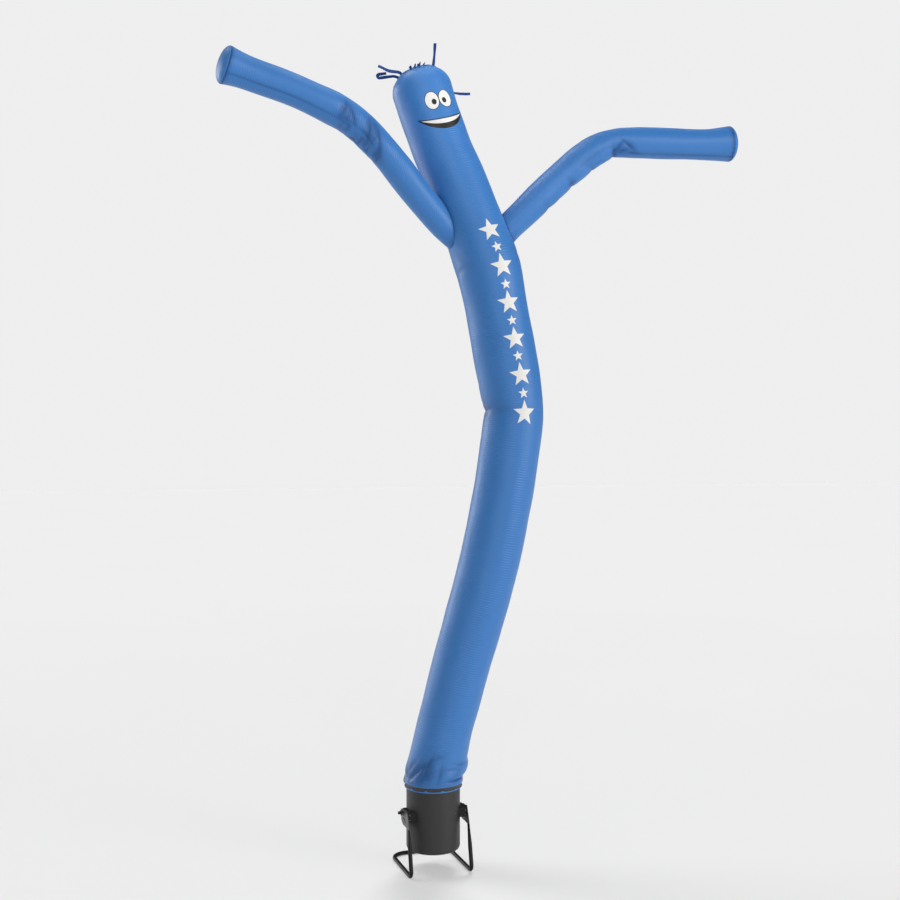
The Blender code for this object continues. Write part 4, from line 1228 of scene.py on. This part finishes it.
def crown_point(crown, degrees_up, angle, out):
    """A point out from the dome, degrees up from its base and at an angle around."""
    centre, radius, ahead, first, second = crown
    up = np.radians(degrees_up)
    spoke = np.cos(angle)[..., None] * first + np.sin(angle)[..., None] * second
    return (centre + (np.sin(up) * (CROWN_RISE + out))[..., None] * ahead
            + (np.cos(up) * (radius + out))[..., None] * spoke)


def squared(wave, power):
    """A wave with fuller shoulders: its size to a power under 1, its sign kept."""
    return np.sign(wave) * np.abs(wave) ** power


def build_binding(crown):
    """The tape over the crown's seam: a flat ring with round edges, carried round the dome."""
    wide, thick = BINDING
    turn = ring_angles(20)[:, None]
    angle = ring_angles(160)[None, :]
    half = crown_degrees(wide / 2, crown[1])
    flat = squared(np.cos(turn), 0.5)
    deep = squared(np.sin(turn), 0.6)
    degrees = SEAM_ANGLE + half * flat + 0 * angle
    out = CLEAR + BINDING_ROOM + thick / 2 * (1 + deep) + 0.0003 * np.sin(angle * 90)
    points = crown_point(crown, degrees, angle + 0 * degrees, out)
    points = np.concatenate((points, points[:1]))
    return surface_piece("binding", points)


def ribbon_line(crown, row, steps):
    """A ribbon's middle line: square to the crown at its root, then its own rise and turn."""
    degrees, length, rise, rise_tip, start, end, turn = row[:7]
    angle = np.radians(np.array([degrees - 0.5, degrees, degrees + 0.5]))
    base = crown_point(crown, np.full(3, SEAM_ANGLE), angle, np.full(3, 0.0))
    above = crown_point(crown, np.array([SEAM_ANGLE + 0.5]), angle[1:2], np.zeros(1))[0]
    sideways = unit(base[2] - base[0])
    normal = unit(np.cross(sideways, above - base[1]))
    root = base[1] + normal * RIBBON_ROOT
    outward = unit(normal * (1, 1, 0))
    share = np.linspace(0.0, 1.0, steps)
    change = (share - start) / (end - start)
    lift = np.radians(rise + (rise_tip - rise) * (eased(change) if start else change))
    bend = np.radians(turn * share)
    heading = np.cos(bend)[:, None] * outward + np.sin(bend)[:, None] * sideways
    flow = np.cos(lift)[:, None] * heading + np.sin(lift)[:, None] * UP
    free = np.minimum(1.0, 0.25 + share * 4)[:, None]
    flow = unit(flow * free + normal * (1 - free))
    moves = np.cumsum(flow[:-1] * length / (steps - 1), axis=0)
    return root + np.concatenate((np.zeros((1, 3)), moves)), sideways


def build_ribbon(crown, number, row):
    """A flat ribbon with a cupped section and round edges, twisting as it goes."""
    steps, sides = 72, 16
    path, sideways = ribbon_line(crown, row, steps)
    ahead = tangents(path)
    share = np.linspace(0.0, 1.0, steps)
    width, twist_root, twist_tip = row[7:]
    twist = np.radians(twist_root + (twist_tip - twist_root) * share)
    twist = twist + 0.12 * np.sin(share * 9 + number)
    across = unit(sideways - ahead * (ahead @ sideways)[:, None])
    through = np.cross(ahead, across)
    wide = across * np.cos(twist)[:, None] + through * np.sin(twist)[:, None]
    thin = np.cross(ahead, wide)
    turn = ring_angles(sides)
    flat = squared(np.cos(turn), 0.7) / 2
    deep = np.sin(turn) * RIBBON_THICKNESS / 2
    body = width * (0.90 + 0.10 * np.cos(share * 7 + number))[:, None]
    cup = 0.20 * body * (0.6 + 0.4 * np.sin(share * 5 + number))[:, None] * (flat * 2) ** 2
    wave = 0.0010 * np.sin(share * 60 + number)[:, None]
    points = (path[:, None] + wide[:, None] * (body * flat)[..., None]
              + thin[:, None] * (deep + cup + wave)[..., None])
    return surface_piece(f"ribbon_{number}", points, lids=True)


# ---------------------------------------------------------------- metal pieces
def turned_piece(name, profile, place, axis, steps, sharp=40.0):
    """A profile of radius and height spun about an axis through a place.

    The profile runs up the outside, so the faces point out; heights run along the axis.
    """
    profile = np.array(profile, float)
    side = unit(np.cross(axis, (0.3, 0.5, 0.8)))
    other = np.cross(axis, side)
    angle = ring_angles(steps)
    spokes = side * np.cos(angle)[:, None] + other * np.sin(angle)[:, None]
    points = place + profile[:, None, 1:2] * np.array(axis) + profile[:, None, 0:1] * spokes[None]
    piece = surface_piece(name, points)
    piece.data.set_sharp_from_angle(angle=math.radians(sharp))
    return piece


def rounded_profile(corners, radius):
    """A profile whose inner corners are arcs: each is cut back by the radius and bent round."""
    corners = np.array(corners, float)
    path = [corners[0]]
    for before, point, after in zip(corners, corners[1:], corners[2:]):
        spans = np.linalg.norm(before - point), np.linalg.norm(after - point)
        reach = min(radius, 0.45 * min(spans))
        start = point + (before - point) / spans[0] * reach
        end = point + (after - point) / spans[1] * reach
        share = np.linspace(0, 1, PROFILE_STEPS + 1)[:, None]
        path.extend((1 - share) ** 2 * start + 2 * share * (1 - share) * point + share**2 * end)
    path.append(corners[-1])
    return np.array(path)


def build_drum(blower):
    """The drum's sheet: rolled lower rim, chamfered foot and a plain wall."""
    low, high = DRUM_BOX[0].z, DRUM_BOX[1].z
    radius, foot = DRUM_RADIUS, DRUM_FOOT_RADIUS
    outside = [(foot, low + 0.003), (foot, low), (radius - 0.0165, low),
               (radius - 0.0065, low + 0.0075), (radius, low + 0.022), (radius, high)]
    inside = [(radius - 0.003, high), (radius - 0.003, low + 0.025), (radius - 0.009, low + 0.011),
              (radius - 0.019, low + 0.003), (foot, low + 0.003)]
    profile = np.vstack((rounded_profile(outside, 0.004), rounded_profile(inside, 0.002)))
    piece = turned_piece("drum_sheet", profile, np.zeros(3), UP, steps=180)
    paint = metal_paint("drum_paint", tuple(blower.drum_colour), 0.50, 0.12)
    dress(piece, paint, ["drum_shell"])


def build_strap(blower):
    """The clamp strap: webbing with round edges and a raised rib along each."""
    low, high = BAND_BOX[0].z, BAND_BOX[1].z
    radius = BAND_BOX[1].x
    edge = [(radius - 0.0008, 0.0), (radius, 0.003), (radius - 0.0010, 0.006)]
    outside = [(STRAP_INSIDE, low), *((reach, low + rise) for reach, rise in edge),
               *((reach, high - rise) for reach, rise in reversed(edge)),
               (STRAP_INSIDE, high), (STRAP_INSIDE, low)]
    profile = rounded_profile(outside, 0.0012)
    piece = turned_piece("clamp_strap", profile, np.zeros(3), UP, steps=220)
    dress(piece, strap_paint(tuple(blower.strap_colour)), ["clamp_band"])


def stand_line():
    """The tube's middle line: straight runs joined by bends."""
    half, (front, back) = STAND_HALF_WIDTH, STAND_ENDS
    corners = np.array([(-half, *LEG_TOP), (-half, front, TUBE_LOW), (-half, back, TUBE_LOW),
                        (half, back, TUBE_LOW), (half, front, TUBE_LOW), (half, *LEG_TOP)])
    tight, broad = TUBE_BENDS
    shares = np.linspace(0, 0.6, 14)
    path = [corners[0] + (corners[1] - corners[0]) * share for share in shares]
    for before, point, after, bend in zip(corners, corners[1:], corners[2:],
                                         (tight, broad, broad, tight)):
        path.extend(bent(before, point, after, bend))
    path.extend(corners[-1] + (corners[-2] - corners[-1]) * share for share in shares[::-1])
    return np.array(path)


def bent(before, point, after, radius):
    """An arc of this radius that rounds a corner between two runs."""
    to_last, to_next = unit(before - point), unit(after - point)
    opening = math.acos(float(to_last @ to_next))
    reach = radius / math.tan(opening / 2)
    middle = point + unit(to_last + to_next) * radius / math.sin(opening / 2)
    start, end = point + to_last * reach - middle, point + to_next * reach - middle
    sweep = math.pi - opening
    share = np.linspace(0, 1, BEND_STEPS + 1)[:, None]
    arc = start * np.sin((1 - share) * sweep) + end * np.sin(share * sweep)
    return middle + arc / math.sin(sweep)


def build_stand(blower):
    """The stand's tube: a round section pressed to a flat oval at the two leg tops."""
    path = stand_line()
    ahead = tangents(path)
    side = np.empty_like(path)
    across = np.array((1.0, 0.0, 0.0))
    for number, direction in enumerate(ahead):
        across = unit(across - direction * (across @ direction))
        side[number] = across
    over = np.cross(ahead, side)
    along = distances(path)
    ease = eased(np.minimum(along, along[-1] - along) / LEG_FLAT_REACH)[:, None, None]
    thin, wide = (flat * (1 - ease) + TUBE_RADIUS * ease for flat in LEG_FLAT)
    angle = ring_angles(36)[:, None]
    points = (path[:, None] + side[:, None] * thin * np.cos(angle)
              + over[:, None] * wide * np.sin(angle))
    points[..., 2] = np.maximum(points[..., 2], 0.0)
    piece = surface_piece("stand_steel", points, lids=True)
    piece.data.set_sharp_from_angle(angle=math.radians(50))
    paint = metal_paint("stand_paint", tuple(blower.stand_colour), 0.40, 0.18, gloss=0.24)
    dress(piece, paint, ["stand_tube"])
    return paint


def build_knobs():
    """Hand screws: a broad washer, a neck and a round grip."""
    profile = rounded_profile(KNOB_PROFILE, 0.002)
    paint = Paint("knob_plastic", (0.014, 0.014, 0.015), 0.42)
    grain = paint.noise(paint.object_place(), 1400.0, 2.0)
    paint.set(Normal=paint.bump(grain, 0.0003), Roughness=0.38 + grain * 0.15)
    for side, sign in SIDES:
        place = np.array((sign * (STAND_HALF_WIDTH + PLATE_FACE + PLAY), *KNOB_PLACE))
        piece = turned_piece(f"hand_screw_{side}", profile, place, (sign, 0.0, 0.0), steps=40)
        dress(piece, paint, [f"pivot_knob_{side}"])


def build_bolts():
    """Button-headed bolts on the brackets, each with a round socket sunk in its head."""
    profile = rounded_profile(BOLT_PROFILE, 0.0006)[::-1]
    paint = metal_paint("bolt_steel", (0.11, 0.11, 0.115), 0.32, 0.1, metallic=0.85)
    for side, sign in SIDES:
        for number, (x, y, z) in enumerate(BOLT_PLACES):
            place = np.array((sign * x, y - PLAY, z))
            name = f"bracket_screw_{side}_{number + 1}"
            piece = turned_piece(name, profile, place, (0.0, -1.0, 0.0), steps=24, sharp=30.0)
            dress(piece, paint, [f"bracket_bolt_{side}_{number + 1}"])


def finish_plain_nodes(stand_paint):
    """Materials for the flat pieces whose solids are already right."""
    plate = metal_paint("plate_paint", (0.060, 0.060, 0.063), 0.36, 0.35, metallic=0.5)
    for node in ("pivot_plate_left", "pivot_plate_right"):
        repaint(node, plate)
    for node in ("drum_bracket_left", "drum_bracket_right", "inlet_guard"):
        repaint(node, stand_paint)


def build_rivets():
    """Round-headed rivets in the drum's side."""
    rivets = []
    for number, (degrees, height) in enumerate(RIVETS):
        turn = math.radians(degrees)
        out = np.array((math.sin(turn), -math.cos(turn), 0.0))
        place = out * DRUM_RADIUS + UP * height
        rivets.append(turned_piece(f"rivet_{number}", RIVET_PROFILE, place, out, 16))
    paint = metal_paint("rivet_steel", (0.10, 0.10, 0.105), 0.38, 0.1, metallic=0.8)
    dress(joined("drum_rivets", rivets), paint)


def repaint(node, paint):
    """Give a plain solid this material in place of its own."""
    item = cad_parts[node]
    if not item.material_slots:
        item.data.materials.append(paint.material)
    for slot in item.material_slots:
        slot.material = paint.material


# ---------------------------------------------------------------- stage
def hang(item, place, rise, heading):
    """Put a lamp or the camera in the scene, turned up from straight down and to a heading."""
    item.location = place
    item.rotation_euler = (rise, 0.0, heading)
    bpy.context.scene.collection.objects.link(item)


def aim(item, place, target):
    """Put a lamp at a place from the drum's axis, turned to a point, and out of sight."""
    way = np.array(target, float) - np.array(place)
    rise = math.acos(-way[2] / np.linalg.norm(way))
    hang(item, np.array(place) + AXIS, rise, math.atan2(way[1], way[0]) - math.pi / 2)
    item.visible_camera = False


def new_lamp(name, kind, power):
    """A lamp of a kind and power, as its own data and its object."""
    lamp = bpy.data.lights.new(name, kind)
    lamp.energy = power
    return lamp, bpy.data.objects.new(name, lamp)


def build_lamps(stage):
    """Broad far-off lamps around the figure, and small ones near its head and forearm."""
    for name, (turn, rise, power, spread, shine) in FAR_LAMPS.items():
        lamp, item = new_lamp(name, "SUN", power)
        lamp.angle = math.radians(spread)
        item.visible_glossy = shine
        heading = stage.camera_turn + math.radians(turn)
        hang(item, UP * FAR_LAMP_HEIGHT, math.radians(90 - rise), heading)
    for name, (place, target, size, power) in NEAR_LAMPS.items():
        lamp, item = new_lamp(name, "AREA", power)
        lamp.shape, lamp.size, lamp.size_y = "RECTANGLE", *size
        aim(item, place, target)
    place, target, power, spread, softness, size = HEAD_LAMP
    lamp, item = new_lamp("head", "SPOT", power)
    lamp.spot_size, lamp.spot_blend, lamp.shadow_soft_size = math.radians(spread), softness, size
    aim(item, place, target)


def build_camera(stage):
    """The camera, level, with its place counted from the drum's axis."""
    camera = bpy.data.objects.new("camera", bpy.data.cameras.new("camera"))
    camera.data.lens, camera.data.sensor_width = stage.focal_length, 36.0
    camera.data.clip_end = 500.0
    hang(camera, np.array(stage.camera_place) + AXIS, math.pi / 2, stage.camera_turn)
    bpy.context.scene.camera = camera


def build_air(stage):
    """The studio's air: full to the camera, and a smaller share as light on the figure."""
    world = bpy.data.worlds.new("studio")
    bpy.context.scene.world = world
    world.use_nodes = True
    tree = world.node_tree
    air = tree.nodes["Background"]
    air.inputs["Color"].default_value = (*stage.backdrop, 1.0)
    seen = tree.nodes.new("ShaderNodeLightPath").outputs["Is Camera Ray"]
    share = tree.nodes.new("ShaderNodeMapRange")
    share.inputs["To Min"].default_value, share.inputs["To Max"].default_value = stage.fill, 1.0
    tree.links.new(seen, share.inputs["Value"])
    tree.links.new(share.outputs[0], air.inputs["Strength"])


def build_floor(stage):
    """A wide matt floor that gives off light, more of it far away, to meet the air with no edge."""
    sides = np.linspace(-stage.floor_size, stage.floor_size, 9)
    x, y = np.meshgrid(sides, sides, indexing="xy")
    floor = surface_piece("floor", np.stack((x, y, 0 * x - FLOOR_DROP), axis=-1), closed=False)
    paint = Paint("studio_floor", tuple(stage.floor_colour), 1.0, Emission_Strength=1.0,
                  Specular_IOR_Level=0.0)
    place = paint.object_place()
    away = paint.node("ShaderNodeVectorMath", {"operation": "LENGTH"}, (place,), out=1)
    near, far = stage.floor_glow
    glow = paint.mix((away / FLOOR_SWEEP).smaller(1.0), (near,) * 3, (far,) * 3)
    base = paint.mix(paint.noise(place, 0.35, 2.0), tinted(stage.floor_colour, 0.985),
                     tinted(stage.floor_colour, 1.015))
    paint.set(Base_Color=base, Emission_Color=glow)
    floor.data.materials.append(paint.material)


def build_stage(stage):
    """The studio, with its colours shown as they are."""
    build_camera(stage)
    build_air(stage)
    build_floor(stage)
    build_lamps(stage)
    bpy.context.scene.view_settings.view_transform = "Standard"


# ---------------------------------------------------------------- operators
class DANCER_OT_stage(bpy.types.Operator):
    """Make the floor, the studio light and the camera"""
    bl_idname = "dancer.stage"
    bl_label = "Studio stage"

    def execute(self, context):
        build_stage(chosen("stage"))
        return {"FINISHED"}


class DANCER_OT_body(bpy.types.Operator):
    """Blow up the body tube and its round head panel"""
    bl_idname = "dancer.body"
    bl_label = "Body and head cloth"

    def execute(self, context):
        build_body(chosen("cloth"))
        build_head(chosen("cloth"))
        return {"FINISHED"}


class DANCER_OT_arms(bpy.types.Operator):
    """Blow up both arm tubes and their hand panels"""
    bl_idname = "dancer.arms"
    bl_label = "Arm and hand cloth"

    def execute(self, context):
        cloth = chosen("cloth")
        body = body_tube(cloth)
        for arm in ARMS:
            build_arm(cloth, body, *arm)
        return {"FINISHED"}


class DANCER_OT_hair(bpy.types.Operator):
    """Sew the tape and its ribbons over the crown's seam"""
    bl_idname = "dancer.hair"
    bl_label = "Hair"

    def execute(self, context):
        crown = crown_frame(chosen("cloth"))
        hair = ribbon_paint(tuple(chosen("blower").hair_colour))
        binding = build_binding(crown)
        binding.data.materials.append(nylon("tape_nylon", *BINDING_CHART)[0].material)
        ribbons = [build_ribbon(crown, number, row) for number, row in enumerate(RIBBONS)]
        for ribbon in ribbons:
            ribbon.data.materials.append(hair.material)
        dress(joined("crown_hair", [binding, *ribbons]), None, ["hair_strip"])
        return {"FINISHED"}


class DANCER_OT_blower(bpy.types.Operator):
    """Make the drum, the clamp strap, the stand and their fittings"""
    bl_idname = "dancer.blower"
    bl_label = "Blower and stand"

    def execute(self, context):
        blower = chosen("blower")
        build_drum(blower)
        build_strap(blower)
        stand_paint = build_stand(blower)
        build_knobs()
        build_bolts()
        build_rivets()
        finish_plain_nodes(stand_paint)
        return {"FINISHED"}


class DANCER_PT_panel(bpy.types.Panel):
    """The dancer's pieces, in the order they are made"""
    bl_label = "Air dancer"
    bl_space_type = "VIEW_3D"
    bl_region_type = "UI"
    bl_category = "Air dancer"

    def draw(self, context):
        for operator in OPERATORS:
            self.layout.operator(operator.bl_idname)


OPERATORS = (DANCER_OT_stage, DANCER_OT_body, DANCER_OT_arms, DANCER_OT_hair, DANCER_OT_blower)
GROUPS = (
    ("dancer_cloth", ClothSettings),
    ("dancer_print", PrintSettings),
    ("dancer_blower", BlowerSettings),
    ("dancer_stage", StageSettings),
)


def register():
    """Add the settings, the operators and the panel to Blender."""
    for name, group in GROUPS:
        bpy.utils.register_class(group)
        setattr(bpy.types.Scene, name, bpy.props.PointerProperty(type=group))
    for item in (*OPERATORS, DANCER_PT_panel):
        bpy.utils.register_class(item)


def unregister():
    """Take away what register added, in the opposite order."""
    for item in (DANCER_PT_panel, *reversed(OPERATORS)):
        bpy.utils.unregister_class(item)
    for name, group in reversed(GROUPS):
        delattr(bpy.types.Scene, name)
        bpy.utils.unregister_class(group)


def main():
    """Make everything in order."""
    register()
    bpy.ops.dancer.stage()
    bpy.ops.dancer.body()
    bpy.ops.dancer.arms()
    bpy.ops.dancer.hair()
    bpy.ops.dancer.blower()
    bpy.context.view_layer.update()


if __name__ == "__main__":
    main()
